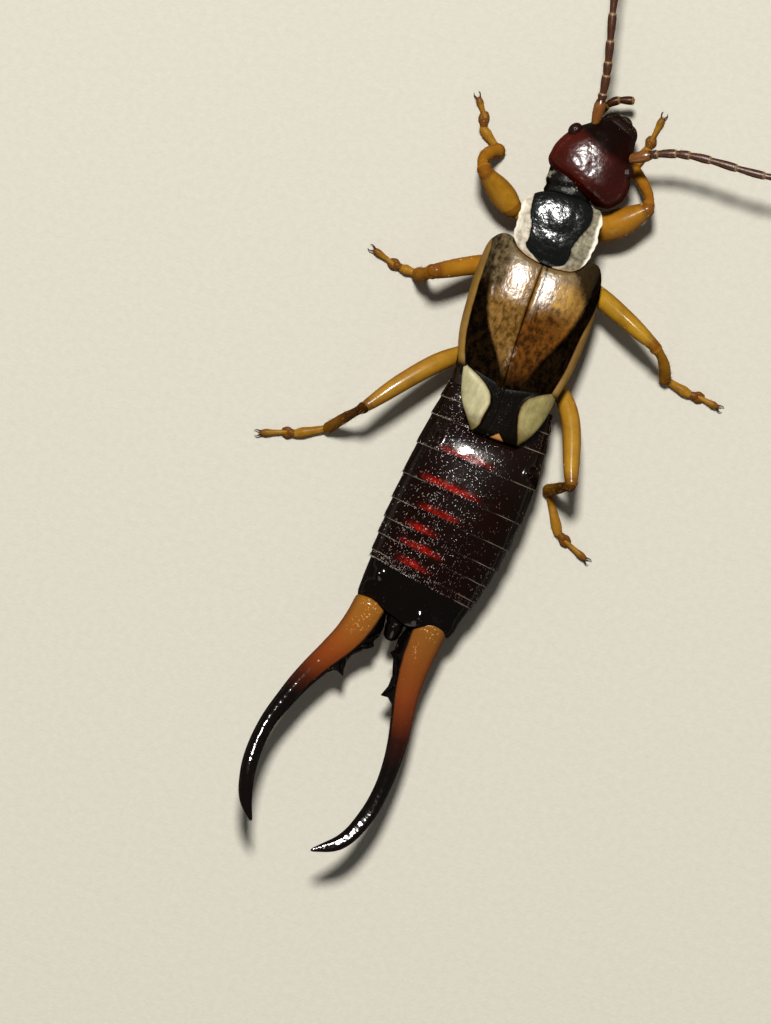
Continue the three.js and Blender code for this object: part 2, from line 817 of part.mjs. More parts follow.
for (const [side, sign] of Object.entries(sides)) {
  const scapeNear = feeler(side, 0, 0, gap);
  earwig.add(
    node(`eye_${side}`, eye(sign), looks.eye),
    node(`mandible_${side}`, less(mandible(sign), headNear), looks.face),
    node(`maxillary_palp_${side}`, less(palp(side), headNear, mandible(sign, gap)), looks.feeler),
    node(`antenna_${side}_scape`, less(feeler(side, 0, 0), headNear), looks.feelerRoot),
    node(`antenna_${side}_flagellum`, less(feeler(side, 1, 13), scapeNear, headNear), looks.feeler),
    node(`elytron_${side}`, less(wingCase(side), pronotum(gap)), looks.wingCase),
    node(`hindwing_tip_${side}`, less(wingTip(side), abdomenNear, casesNear, thoraxNear), looks.wingTip),
    node(`forceps_${side}`, less(forcepsBranch(side), lastNear), looks.forceps),
  );
}

for (const [name, leg] of Object.entries(legs)) {
  const body = name.startsWith('fore') ? prothoraxNear : thoraxNear;
  earwig.add(
    node(`leg_${name}_coxa`, less(coxa(leg), body), looks.leg),
    node(`leg_${name}_femur`, less(femur(leg), coxa(leg, gap), body), looks.leg),
    node(`leg_${name}_tibia`, less(tibia(leg), femur(leg, gap)), looks.leg),
    node(`leg_${name}_tarsus`, less(foot(leg), tibia(leg, gap)), looks.foot),
  );
}

export default earwig;
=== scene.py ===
import math

import bpy
import numpy as np
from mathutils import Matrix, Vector


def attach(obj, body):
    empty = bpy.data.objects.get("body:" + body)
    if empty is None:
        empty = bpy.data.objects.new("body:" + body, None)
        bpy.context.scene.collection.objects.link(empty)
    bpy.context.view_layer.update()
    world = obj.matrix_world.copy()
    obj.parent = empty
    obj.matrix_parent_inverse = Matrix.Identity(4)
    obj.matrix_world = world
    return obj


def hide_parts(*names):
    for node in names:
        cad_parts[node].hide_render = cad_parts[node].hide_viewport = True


# A male earwig with long forceps, standing on its six feet on a pale floor.
# Shapes are worked out in millimetres on the animal: right, ahead and up from a point on the floor
# below the seam of its wing cases. at() turns them into metres in the model's own frame.

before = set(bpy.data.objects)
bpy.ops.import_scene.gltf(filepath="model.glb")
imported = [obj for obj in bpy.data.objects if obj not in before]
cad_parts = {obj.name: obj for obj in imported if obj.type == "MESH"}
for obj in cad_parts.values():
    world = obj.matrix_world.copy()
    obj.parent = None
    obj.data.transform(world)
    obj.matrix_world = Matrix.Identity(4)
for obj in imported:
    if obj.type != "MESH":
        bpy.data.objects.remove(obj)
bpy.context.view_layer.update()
print("frame:", len(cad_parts), "nodes")

mm = 0.001
draws = np.random.default_rng(20)
animal = {"boxRight": 2.0, "boxAhead": 4.5, "headTurn": 20.0, "headPlace": (0.335, 9.51)}
sides = (("left", -1), ("right", 1))


# Places and lines

# (right, ahead, up) becomes x = boxRight - right, y = boxAhead - ahead, z = up, in metres.
def at(right, ahead, high):
    spot = np.broadcast_arrays(animal["boxRight"] - right, animal["boxAhead"] - ahead, high)
    return np.stack(spot, -1) * mm


# A place in the head's own frame, turned about the point midway between the eyes.
def onHead(right, ahead, high):
    turn = math.radians(animal["headTurn"])
    placeRight, placeAhead = animal["headPlace"]
    return at(
        placeRight + right * math.cos(turn) + ahead * math.sin(turn),
        placeAhead - right * math.sin(turn) + ahead * math.cos(turn),
        high,
    )


def pathOnHead(points, sign=1):
    return [onHead(sign * right, ahead, high) for right, ahead, high in points]


# A smooth line through (place, value) pairs: a cubic between each two pairs, whose slope at a pair
# is the one that its neighbours give it. Beyond its ends the line stays level.
def line(where, *pairs):
    places, values = np.array(pairs, float).T
    slopes = np.gradient(values, places)
    where = np.clip(where, places[0], places[-1])
    left = np.clip(np.searchsorted(places, where) - 1, 0, len(places) - 2)
    step = places[left + 1] - places[left]
    u = (where - places[left]) / step
    return (
        (2 * u**3 - 3 * u**2 + 1) * values[left]
        + (u**3 - 2 * u**2 + u) * step * slopes[left]
        + (3 * u**2 - 2 * u**3) * values[left + 1]
        + (u**3 - u**2) * step * slopes[left + 1]
    )


# A size at the share t of a body's length: it is a number, (share, size) pairs or a function of t.
def sizeAt(size, t):
    if callable(size):
        return size(t)
    return line(t, *size) if np.ndim(size) else np.full_like(t, size)


# 0 below low, 1 above high, and a smooth step between them.
def rise(value, low, high):
    u = np.clip((value - low) / (high - low), 0, 1)
    return u * u * (3 - 2 * u)


# 1 at the middle, falling off as a bell of the given width.
def bell(distance, width):
    return np.exp(-((distance / width) ** 2))


# Bumps on a surface: each is height * exp(-(distance / width) squared) about its own (right,
# ahead) place, and lengths ahead count stretch times in the distance.
def bumps(right, ahead, stretch, *spots):
    return sum(
        height * bell(np.hypot(right - x, (ahead - y) * stretch), width) for x, y, height, width in spots
    )


# A coordinate of the unit circle raised to a power below 1, which makes the round section squarer.
def squared(value, power):
    return np.sign(value) * np.abs(value) ** power


# Vectors scaled to length 1.
def unit(vectors):
    return vectors / (np.linalg.norm(vectors, axis=-1, keepdims=True) + 1e-12)


def roundTurn(columns):
    return np.linspace(0, 2 * math.pi, columns, endpoint=False)[None]


# Mesh parts: a part is its points, its triangles and the values that its points carry

# A tube's grid of points becomes a closed skin: its rows are joined round, and the first and the
# last row, where the section has shrunk to nothing, each become one point.
def skin(grid, **values):
    rows, columns = grid.shape[:2]
    points = np.vstack([grid[0].mean(0), grid[1:-1].reshape(-1, 3), grid[-1].mean(0)])
    row, column = np.meshgrid(np.arange(rows - 3), np.arange(columns), indexing="ij")
    corner = 1 + row * columns + column
    beside = 1 + row * columns + (column + 1) % columns
    walls = np.stack([corner, beside, beside + columns, corner, beside + columns, corner + columns], -1)
    first = np.arange(columns) + 1
    last = first + (rows - 3) * columns
    ends = [
        np.stack([np.zeros_like(first), np.roll(first, -1), first], -1),
        np.stack([np.full_like(last, len(points) - 1), last, np.roll(last, -1)], -1),
    ]
    carried = {}
    for name, value in values.items():
        value = np.broadcast_to(value, (rows, columns))
        carried[name] = np.r_[value[0].mean(), value[1:-1].ravel(), value[-1].mean()]
    return outward(points, np.vstack([walls.reshape(-1, 3), *ends])), carried


# An upper and a lower sheet with the same border become one closed pillow.
def pillow(upper, lower, **values):
    rows, columns = upper.shape[:2]
    above = np.arange(rows * columns).reshape(rows, columns)
    below = above.copy()
    below[1:-1, 1:-1] = rows * columns + np.arange((rows - 2) * (columns - 2)).reshape(rows - 2, -1)
    points = np.vstack([upper.reshape(-1, 3), lower[1:-1, 1:-1].reshape(-1, 3)])
    faces = []
    for sheet, flip in ((above, 1), (below, -1)):
        a, b, c, d = sheet[:-1, :-1], sheet[1:, :-1], sheet[1:, 1:], sheet[:-1, 1:]
        faces += [np.stack(three[::flip], -1).reshape(-1, 3) for three in ((a, b, c), (a, c, d))]
    carried = {}
    for name, value in values.items():
        value = np.broadcast_to(value, (rows, columns))
        carried[name] = np.r_[value.ravel(), value[1:-1, 1:-1].ravel()]
    return outward(points, np.vstack(faces)), carried


# The triangles turned so that the volume they enclose is positive.
def outward(points, faces):
    a, b, c = (points[faces[:, corner]] - points.mean(0) for corner in range(3))
    volume = np.einsum("ij,ij->", a, np.cross(b, c))
    return points, faces if volume > 0 else faces[:, ::-1]


# Places along a body with extra rows for round ends: each end bulges out by its own length while
# the section shrinks to nothing as a quarter circle. Gives the places and the share of the section.
def roundEnds(places, firstBulge, lastBulge, steps=7):
    quarter = np.linspace(0, math.pi / 2, steps + 1)[:-1]
    sign = np.sign(places[-1] - places[0])
    first = places[0] - sign * firstBulge * np.cos(quarter)
    last = places[-1] + sign * lastBulge * np.cos(quarter[::-1])
    share = np.concatenate([np.sin(quarter), np.ones(len(places)), np.sin(quarter[::-1])])
    return np.concatenate([first, places, last]), share


# Points along a smooth path, its direction there, both at shares of its length, and the length.
def route(points, share):
    points = np.array(points, float)
    walked = np.r_[0, np.cumsum(np.linalg.norm(np.diff(points, axis=0), axis=1))]
    fine = np.linspace(0, walked[-1], 600)
    path = np.stack([line(fine, *zip(walked, values)) for values in points.T], -1)
    length = np.r_[0, np.cumsum(np.linalg.norm(np.diff(path, axis=0), axis=1))]
    inside = np.clip(share, 0, 1)
    reach = inside * length[-1]
    spots = np.stack([np.interp(reach, length, values) for values in path.T], -1)
    slopes = np.gradient(path, length, axis=0)
    along = unit(np.stack([np.interp(reach, length, values) for values in slopes.T], -1))
    spots += along * ((share - inside) * length[-1])[..., None]
    return spots, along, length[-1]


# A limb: ellipses of half sizes wide and high, in millimetres, set square to a path between the
# two shares of it in span, with round ends. high is wide times flat where it isn't given, and
# swell(t, angle) is a factor on the section's radius.
def limb(points, wide, high=None, rows=24, columns=20, span=(0, 1), bulge=(1, 1), swell=None, flat=1,
         **values):
    length = route(points, np.array([0.0]))[2] * (span[1] - span[0])
    t = np.linspace(0, 1, rows)
    t, share = roundEnds(t, *(sizeAt(wide, t[[0, -1]]) * mm / length * bulge))
    spots, along, _ = route(points, span[0] + t * (span[1] - span[0]))
    side = unit(np.cross(along, (0, 0, 1)))
    lift = np.cross(side, along)
    angle = roundTurn(columns)
    inside = np.clip(t, 0, 1)
    bend = share[:, None] * (swell(inside[:, None], angle) if swell else 1) * mm
    x = sizeAt(wide, inside)[:, None] * bend * np.cos(angle)
    y = sizeAt(high or wide, inside)[:, None] * flat * bend * np.sin(angle)
    grid = spots[:, None] + x[..., None] * side[:, None] + y[..., None] * lift[:, None]
    carried = {name: sizeAt(value, inside)[:, None] for name, value in values.items()}
    return grid, skin(grid, along=inside[:, None], turn=angle / (2 * math.pi), **carried)


# A row of joints along a path: each is a club whose half width grows from its neck to its end as a
# smooth step, with a pale ring where the joint value is 1. Gives their grids and their parts.
def clubs(points, lengths, rootHalf, tipHalf, neckShare, columns=16, rows=14):
    def joint(t):
        return rise(-t, -0.07, -0.01) + rise(t, 0.96, 1.0)

    ends = np.r_[0, np.cumsum(lengths)] / np.sum(lengths)
    made = []
    for first, last in zip(ends[:-1], ends[1:]):
        size = rootHalf + (tipHalf - rootHalf) * (first + last) / 2

        def half(t, size=size):
            neck = neckShare + (1 - neckShare) * rise(t, -0.1, 0.75)
            return size * neck * (1 - 0.1 * rise(t, 0.85, 1.1))

        span = (first + 0.02 * (last - first), last - 0.01 * (last - first))
        made.append(limb(points, half, None, rows, columns, span, (0.5, 0.5), joint=joint))
    return zip(*made)


# Squared ellipses along a body: at each place ahead they reach half to each side and from low to
# high, and are widest at the share waist of their height. Their cosines and sines are raised to
# the two powers. Gives across, level and the angle.
def ovals(ahead, share, shape, columns, powers, waist=0.5):
    angle = roundTurn(columns)
    half, low, high = (line(ahead, *shape[name])[:, None] for name in ("half", "low", "high"))
    x, y = squared(np.cos(angle), powers[0]), squared(np.sin(angle), powers[1])
    centre = low + (high - low) * waist
    level = centre + y * np.where(y > 0, high - centre, centre - low) * share[:, None]
    return x * half * share[:, None], level, angle


# Unit normals of a grid that goes round, pointing away from the middle of each row.
def normalsOf(grid):
    downRows = np.gradient(grid, axis=0)
    normal = unit(np.cross(downRows, np.roll(grid, -1, axis=1) - np.roll(grid, 1, axis=1)))
    away = grid - grid.mean(1, keepdims=True)
    return normal * np.sign(np.einsum("ijk,ijk->ij", normal, away).sum())


# Bristles: thin three-sided spikes from roots along directions, with their roots sunk in a little.
def bristles(roots, directions, lengths, width):
    directions = unit(directions)
    helper = np.where(np.abs(directions[:, 2:]) < 0.9, [[0.0, 0.0, 1.0]], [[1.0, 0.0, 0.0]])
    one = unit(np.cross(directions, helper))
    two = np.cross(directions, one)
    angles = np.arange(3)[:, None] * 2 * math.pi / 3
    ring = one[:, None] * np.cos(angles) + two[:, None] * np.sin(angles)
    base = (roots - directions * width)[:, None] + ring * width
    tip = (roots + directions * lengths[:, None])[:, None]
    points = np.concatenate([base, tip], 1).reshape(-1, 3)
    spike = np.array([[0, 1, 3], [1, 2, 3], [2, 0, 3], [2, 1, 0]])
    faces = (4 * np.arange(len(roots))[:, None, None] + spike).reshape(-1, 3)
    return outward(points, faces), {}


# Coats of bristles: how many, how long, how far they lean over, and how wide.
coats = {
    "head": (60, 0.07, 0.6, 0.004),
    "lip": (60, 0.08, 0.9, 0.004),
    "palp": (26, 0.06, 0.7, 0.004),
    "scape": (60, 0.07, 0.8, 0.005),
    "thread": (46, 0.06, 0.7, 0.0045),
    "back": (6500, 0.06, 1.1, 0.0065),
    "belly": (1200, 0.1, 1.1, 0.005),
    "lastRing": (120, 0.08, 1.1, 0.004),
    "forceps": (160, 0.06, 1.0, 0.004),
    "thigh": (150, 0.07, 0.85, 0.0045),
    "shin": (150, 0.08, 0.75, 0.0045),
    "foot": (50, 0.07, 0.9, 0.0045),
}


# Bristles scattered over a grid that goes round, leaning from the normal towards the grid's last
# row. The chance of one at a spot is keep(row share, column share).
def coat(grid, kind, keep=None, spread=0.25):
    count, length, lean, width = coats[kind]
    rows, columns = grid.shape[:2]
    row = draws.integers(1, rows - 1, count)
    column = draws.integers(0, columns, count)
    chance = draws.random(count)
    if keep:
        chosen = chance < keep(row / rows, column / columns)
        row, column = row[chosen], column[chosen]
    onwards = unit(grid[row + 1, column] - grid[row - 1, column])
    direction = normalsOf(grid)[row, column] * math.cos(lean) + onwards * math.sin(lean)
    direction += draws.normal(0, spread, direction.shape)
    lengths = length * mm * draws.uniform(0.6, 1.2, len(row))
    return bristles(grid[row, column], direction, lengths, width * mm)


# One part from several: their points one after another.
def joined(*parts):
    points, faces, values = [], [], {}
    names = dict.fromkeys(name for _, carried in parts for name in carried)
    start = 0
    for (spots, corners), carried in parts:
        points.append(spots)
        faces.append(corners + start)
        start += len(spots)
        for name in names:
            values.setdefault(name, []).append(carried.get(name, np.zeros(len(spots))))
    carried = {name: np.concatenate(value) for name, value in values.items()}
    return (np.vstack(points), np.vstack(faces)), carried


# An object with its data, put in the scene.
def placed(name, data):
    thing = bpy.data.objects.new(name, data)
    bpy.context.scene.collection.objects.link(thing)
    return thing


# A piece of the model stands for one node: its parts have one finish and its hairs another.
def piece(name, node, parts, finish, hairs=(), hairFinish=None):
    groups = [(joined(*parts), finish)]
    if hairs:
        groups.append((joined(*hairs), hairFinish or bristleLook))
    (points, faces), values = joined(*[group for group, _ in groups])
    mesh = bpy.data.meshes.new(name)
    mesh.vertices.add(len(points))
    mesh.vertices.foreach_set("co", points.astype(np.float32).ravel())
    mesh.loops.add(faces.size)
    mesh.loops.foreach_set("vertex_index", faces.astype(np.int32).ravel())
    mesh.polygons.add(len(faces))
    mesh.polygons.foreach_set("loop_start", np.arange(0, faces.size, 3, dtype=np.int32))
    counts = [len(group[0][1]) for group, _ in groups]
    materials = np.repeat(np.arange(len(groups)), counts).astype(np.int32)
    mesh.polygons.foreach_set("material_index", materials)
    mesh.polygons.foreach_set("use_smooth", np.ones(len(faces), bool))
    for label, value in values.items():
        data = mesh.attributes.new(label, "FLOAT", "POINT").data
        data.foreach_set("value", value.astype(np.float32))
    mesh.update(calc_edges=True)
    mesh.validate()
    for _, material in groups:
        mesh.materials.append(material)
    thing = placed(name, mesh)
    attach(thing, "root")
    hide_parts(node)


# Materials

# A colour from its six hexadecimal digits, as linear red, green and blue with full cover.
def tint(digits):
    parts = [int(digits[i : i + 2], 16) / 255 for i in (0, 2, 4)]
    return (*[p / 12.92 if p <= 0.04045 else ((p + 0.055) / 1.055) ** 2.4 for p in parts], 1.0)


# One socket of a material's nodes. Arithmetic on it adds Math nodes, and node() adds any other.
class Wire:
    def __init__(self, tree, socket):
        self.tree = tree
        self.socket = socket

    def node(self, kind, settings, sockets, out=0):
        made = self.tree.nodes.new("ShaderNode" + kind)
        for name, value in settings.items():
            if name == "stops":
                ramp = made.color_ramp.elements
                while len(ramp) < len(value):
                    ramp.new(1.0)
                for stop, (place, digits) in zip(ramp, value):
                    stop.position = place
                    stop.color = tint(digits)
            else:
                setattr(made, name, value)
        for name, value in sockets.items():
            if isinstance(value, Wire):
                self.tree.links.new(value.socket, made.inputs[name])
            else:
                made.inputs[name].default_value = tint(value) if isinstance(value, str) else value
        return Wire(self.tree, made.outputs[out])

    def math(self, operation, *values):
        return self.node("Math", {"operation": operation}, dict(enumerate(values)))

    def __add__(self, other):
        return self.math("ADD", self, other)

    def __sub__(self, other):
        return self.math("SUBTRACT", self, other)

    def __rsub__(self, other):
        return self.math("SUBTRACT", other, self)

    def __mul__(self, other):
        return self.math("MULTIPLY", self, other)

    def __abs__(self):
        return self.math("ABSOLUTE", self)

    __radd__ = __add__
    __rmul__ = __mul__

    # 0 where this is below low and 1 where it is above high, with a smooth step between.
    def rise(self, low, high):
        limits = {"Value": self, "From Min": low, "From Max": high}
        return self.node("MapRange", {"interpolation_type": "SMOOTHSTEP"}, limits)

    # The colour a where this is 0 and b where it is 1.
    def mix(self, a, b):
        return self.node("Mix", {"data_type": "RGBA"}, {0: self, 6: a, 7: b}, 2)

    # The colours from a to b as this noise goes from -1 to 1, or sooner with a larger gain.
    def tones(self, a, b, gain=0.5):
        return (self * gain + 0.5).mix(a, b)

    # This colour with others laid over it, each where its own mask is 1.
    def under(self, *layers):
        colour = self
        for mask, other in layers:
            colour = mask.mix(colour, other)
        return colour

    # Noise from -1 to 1 on this place, with scale to the millimetre and stretch along the axes.
    def noise(self, scale, detail=3, stretch=(1, 1, 1)):
        place = self.node("Mapping", {}, {"Vector": self, "Scale": stretch})
        sockets = {"Vector": place, "Scale": scale, "Detail": detail, "Roughness": 0.6}
        return (self.node("TexNoise", {}, sockets) - 0.5) * 2

    # One noise for each given kind, a scale with its detail and perhaps its stretch.
    def noises(self, *kinds):
        return [self.noise(*kind) for kind in kinds]

    # Distance to the nearest of scattered spots on this place, in spot spacings.
    def spots(self, scale):
        return self.node("TexVoronoi", {}, {"Vector": self, "Scale": scale}, "Distance")

    # A value that the mesh's points carry.
    def carried(self, name):
        return self.node("Attribute", {"attribute_name": name}, {}, "Fac")


# Where a surface turns away from the eye: from and to where its sheen fades, and how much of it.
fading = {"start": 0.18, "end": 0.42, "most": 0.92}


# A material with fixed values on its shader. paintIt(place) gives colour, roughness and the layers
# of its relief, each a height from about -1 to 1 with its depth in millimetres. It may also give a
# matt share, the part of the surface that has no sheen.
def look(name, paintIt, **fixed):
    material = bpy.data.materials.new(name)
    material.use_nodes = True
    tree = material.node_tree
    glossy = tree.nodes["Principled BSDF"]
    for socket, value in fixed.items():
        glossy.inputs[socket.replace("_", " ")].default_value = value
    start = Wire(tree, glossy.outputs[0])
    coordinates = start.node("TexCoord", {}, {}, "Object")
    place = start.node("VectorMath", {"operation": "SCALE"}, {0: coordinates, "Scale": 1 / mm})
    colour, roughness, relief, *matt = paintIt(place)
    feeds = {"Base Color": colour, "Roughness": roughness}
    for height, depth in relief:
        sockets = {"Height": height, "Strength": 1.0, "Distance": depth * mm}
        if "Normal" in feeds:
            sockets["Normal"] = feeds["Normal"]
        feeds["Normal"] = start.node("Bump", {}, sockets)
    plain = tree.nodes.new("ShaderNodeBsdfPrincipled")
    plain.inputs["Specular IOR Level"].default_value = 0.0
    facing = start.node("LayerWeight", {}, {"Blend": 0.5}, "Facing")
    share = facing.rise(fading["start"], fading["end"]) * fading["most"]
    if matt:
        share = share.math("MAXIMUM", share, matt[0])
    both = start.node("MixShader", {}, {0: share, 1: start, 2: Wire(tree, plain.outputs[0])})
    tree.links.new(both.socket, tree.nodes["Material Output"].inputs["Surface"])
    for shader in (glossy, plain):
        for label, wire in feeds.items():
            tree.links.new(wire.socket, shader.inputs[label])
    return material


# The paint of a plain part. noises are (scale, detail) pairs, and the first of them mixes the two
# tones. rough is the roughness, its swing and the noise that swings it. relief says which noises
# raise the surface and how deep, and joint is the share and the colour of its rings.
def evenPaint(noises, tones, rough, relief=(), joint=None, gain=0.5):
    def paintIt(spot):
        made = spot.noises(*noises)
        colour = made[0].tones(*tones, gain)
        if joint:
            colour = (spot.carried("joint") * joint[0]).mix(colour, joint[1])
        middle, swing, which = rough
        return colour, middle + made[which] * swing, [(made[one], depth) for one, depth in relief]

    return paintIt


# How far to the right and ahead a place is, in millimetres on the animal.
def onBody(place):
    x, y = (place.node("SeparateXYZ", {}, {"Vector": place}, axis) for axis in "XY")
    return animal["boxRight"] - x, animal["boxAhead"] - y


bristleLook = look("bristle", evenPaint([(3, 1)], ("6b4418", "c2924a"), (0.4, 0.05, 0)))


# Light, floor and camera

studio = {
    "viewCentre": (3.594, 5.273),  # point under the camera, millimetres in the model's frame
    "viewTurn": 200.2,  # degrees; the picture's up is the model's (0.345, -0.939)
    "viewHeight": 25.6,  # millimetres seen from top to bottom, level with the back
    "backLevel": 2.0,
    "cameraHeight": 260.0,
    # lean ahead and to the right in degrees, distance and size in millimetres, watts and colour
    "key_light": (24.2, 0.0, 260.0, 46.0, 1.0, (1.0, 0.965, 0.9)),
    "fill_light": (-62.0, -25.0, 420.0, 200.0, 0.13, (1.0, 0.97, 0.9)),
    "worldColour": (1.0, 0.97, 0.9, 1.0),
    "worldStrength": 0.09,
    "floorHalf": 600.0,
}


def makeStudio():
    scene = bpy.context.scene
    turn = math.radians(studio["viewTurn"])
    right = Vector((math.cos(turn), math.sin(turn), 0))
    ahead = Vector((-math.sin(turn), math.cos(turn), 0))
    centre = Vector((*studio["viewCentre"], 0)) * mm

    lens = bpy.data.cameras.new("camera")
    camera = placed("camera", lens)
    camera.location = centre + Vector((0, 0, studio["cameraHeight"] * mm))
    camera.rotation_euler = (0, 0, turn)
    lens.sensor_width = 36.0
    distance = studio["cameraHeight"] - studio["backLevel"]
    lens.lens = lens.sensor_width * distance / studio["viewHeight"]
    lens.clip_start = 0.001
    lens.clip_end = 10.0
    scene.camera = camera

    for name in ("key_light", "fill_light"):
        lean, side, distance, size, power, colour = studio[name]
        bulb = bpy.data.lights.new(name, "AREA")
        bulb.shape = "DISK"
        bulb.size = size * mm
        bulb.energy = power
        bulb.color = colour
        holder = placed(name, bulb)
        tilt = ahead * math.tan(math.radians(lean)) + right * math.tan(math.radians(side))
        direction = (Vector((0, 0, 1)) + tilt).normalized()
        holder.location = centre + direction * distance * mm
        holder.rotation_mode = "QUATERNION"
        holder.rotation_quaternion = direction.to_track_quat("Z", "Y")

    world = bpy.data.worlds.new("world")
    world.use_nodes = True
    background = world.node_tree.nodes["Background"]
    background.inputs["Color"].default_value = studio["worldColour"]
    background.inputs["Strength"].default_value = studio["worldStrength"]
    scene.world = world
    scene.view_settings.view_transform = "Standard"

    half = studio["floorHalf"] * mm
    mesh = bpy.data.meshes.new("floor")
    corners = [(-half, -half, 0), (half, -half, 0), (half, half, 0), (-half, half, 0)]
    mesh.from_pydata(corners, [], [(0, 1, 2, 3)])
    paper = evenPaint([(6, 4), (14, 3)], ("c0beb5", "b4b1a6"), (0.75, 0.02, 0), [(1, 0.004)])
    mesh.materials.append(look("floor_paper", paper))
    floor = placed("floor", mesh)
    print("studio: camera, two lights and floor")


# Head

headShape = {
    "span": (-1.08, 0.82),
    "half": [(-1.1, 0.67), (-0.98, 0.9), (-0.7, 1.07), (-0.3, 1.09), (0.1, 0.91), (0.45, 0.69),
             (0.84, 0.47)],
    "middle": [(-1.1, 0.05), (-0.7, 0.1), (-0.3, 0.1), (0.1, 0.03), (0.84, 0.02)],
    "high": [(-1.1, 1.72), (-0.92, 1.94), (-0.7, 2.0), (-0.3, 1.96), (0.1, 1.87), (0.5, 1.72), (0.84, 1.5)],
    "low": [(-1.1, 0.9), (-0.8, 0.72), (-0.3, 0.72), (0.5, 0.84), (0.84, 1.0)],
    "hollow": 0.07,  # how far the middle of the hind face lies ahead of its corners
    "seamDepth": 0.003,
    "seamWidth": 0.018,
    "forkAt": -0.3,  # where the seam from behind forks towards the feelers
    "lobes": (0.875, (0.5, -0.6, 0.012, 0.35)),
    "dimples": (1, (0.34, 0.3, -0.02, 0.14)),
}


# The head capsule: squared ellipses about middle(ahead), less the seams, which are bells across
# their own lines, with two low lobes behind and a dimple inside each feeler.
def makeHead():
    shape = headShape
    ahead, share = roundEnds(np.linspace(*shape["span"], 110), 0.02, 0.03, 12)
    across, level, angle = ovals(ahead, share, shape, 180, (0.9, 0.8))
    across = across + line(ahead, *shape["middle"])[:, None]
    place = np.broadcast_to(ahead[:, None], across.shape)
    fork, width, side = shape["forkAt"], shape["seamWidth"], np.abs(across)
    seam = bell(across, width) * rise(-place, -fork - 0.05, -fork + 0.05)
    arm = side - (place - fork) * 0.85
    seam += bell(arm, width * 1.3) * rise(place, fork, fork + 0.1) * rise(-place, -0.4, -0.3)
    raised = bumps(side, place, *shape["lobes"]) + bumps(side, place, *shape["dimples"])
    raised -= shape["seamDepth"] * np.clip(seam, 0, 1)
    level = level + rise(np.sin(angle), 0.2, 0.6) * raised
    pull = rise(-place, 0.75, 1.08) * shape["hollow"] * (1 - np.clip(side / 0.8, 0, 1) ** 2)
    grid = onHead(across, place + pull, level)

    def paintHead(spot):
        across = spot.carried("across")
        cloud, scales, grain = spot.noises((2.2, 2), (5.0, 1.5), (20.0, 2))
        front = (spot.carried("ahead") + cloud * 0.12 - abs(across) * 0.08).rise(-0.04, 0.24)
        red, dark = cloud.tones("2a0702", "430d04"), grain.tones("0b0403", "150a06")
        colour = front.mix(red, dark).under(
            # painted light: the thin sides a brighter red, where light shines through them
            ((abs(across) - 0.72).rise(0.0, 0.3) * (1 - front) * 0.5, "52140a"),
            # painted shade: the right side of the head darker, as it lies away from the light
            ((across + cloud * 0.1).rise(0.05, 0.6) * 0.6, "1c0402"),
        )
        relief = [(cloud, 0.014), (scales * (1 - front * 0.7), 0.01), (grain, 0.0006)]
        return colour, 0.26 + scales * 0.05, relief, front * 0.85

    finish = look("head_cuticle", paintHead, IOR=1.5, Specular_Tint=(0.95, 0.97, 1.0, 1.0))
    hairs = coat(grid, "head", lambda row, column: (column < 0.5) * 0.5)
    body = skin(grid, ahead=place, across=across)
    piece("head_capsule", "head", [body], finish, [hairs])
    print("head: capsule")


eye = {"side": 0.84, "ahead": 0.05, "high": 1.52, "radii": (0.16, 0.2, 0.2), "facets": 420, "bulge": 0.035}


# A compound eye: an ellipsoid whose surface rises over each of the evenly spread facets by
# bulge times (1 - (distance / spacing) squared).
def makeEyes():
    polar = np.linspace(0, math.pi, 110)[:, None]
    turn = roundTurn(160)
    sphere = (np.cos(polar), np.sin(polar) * np.cos(turn), np.sin(polar) * np.sin(turn))
    outwards = np.stack(np.broadcast_arrays(*sphere), -1)
    count = np.arange(eye["facets"]) + 0.5
    height = 1 - 2 * count / eye["facets"]
    spin = math.pi * (1 + 5**0.5) * count
    ring = np.sqrt(1 - height**2)
    facets = np.stack([height, ring * np.cos(spin), ring * np.sin(spin)], -1)
    nearest = (outwards.reshape(-1, 3) @ facets.T).max(1).reshape(outwards.shape[:2])
    away = np.arccos(np.clip(nearest, -1, 1)) / (0.6 * math.sqrt(4 * math.pi / eye["facets"]))
    facet = np.clip(1 - away**2, -0.2, 1)

    def paintEye(spot):
        grain = spot.noise(9.0, 2)
        colour = spot.carried("facet").mix("0d0505", "2b110c")
        return colour, 0.16 + grain * 0.03, [(grain, 0.001)]

    finish = look("eye", paintEye, Specular_IOR_Level=0.35)
    for side, sign in sides:
        local = outwards * np.array(eye["radii"]) * (1 + eye["bulge"] * facet)[..., None]
        across = sign * (eye["side"] + local[..., 0])
        grid = onHead(across, eye["ahead"] + local[..., 1], eye["high"] + local[..., 2])
        body = skin(grid, facet=np.clip(facet, 0, 1))
        piece(f"compound_eye_{side}", f"eye_{side}", [body], finish)
    print("head: eyes")


# Mouthparts

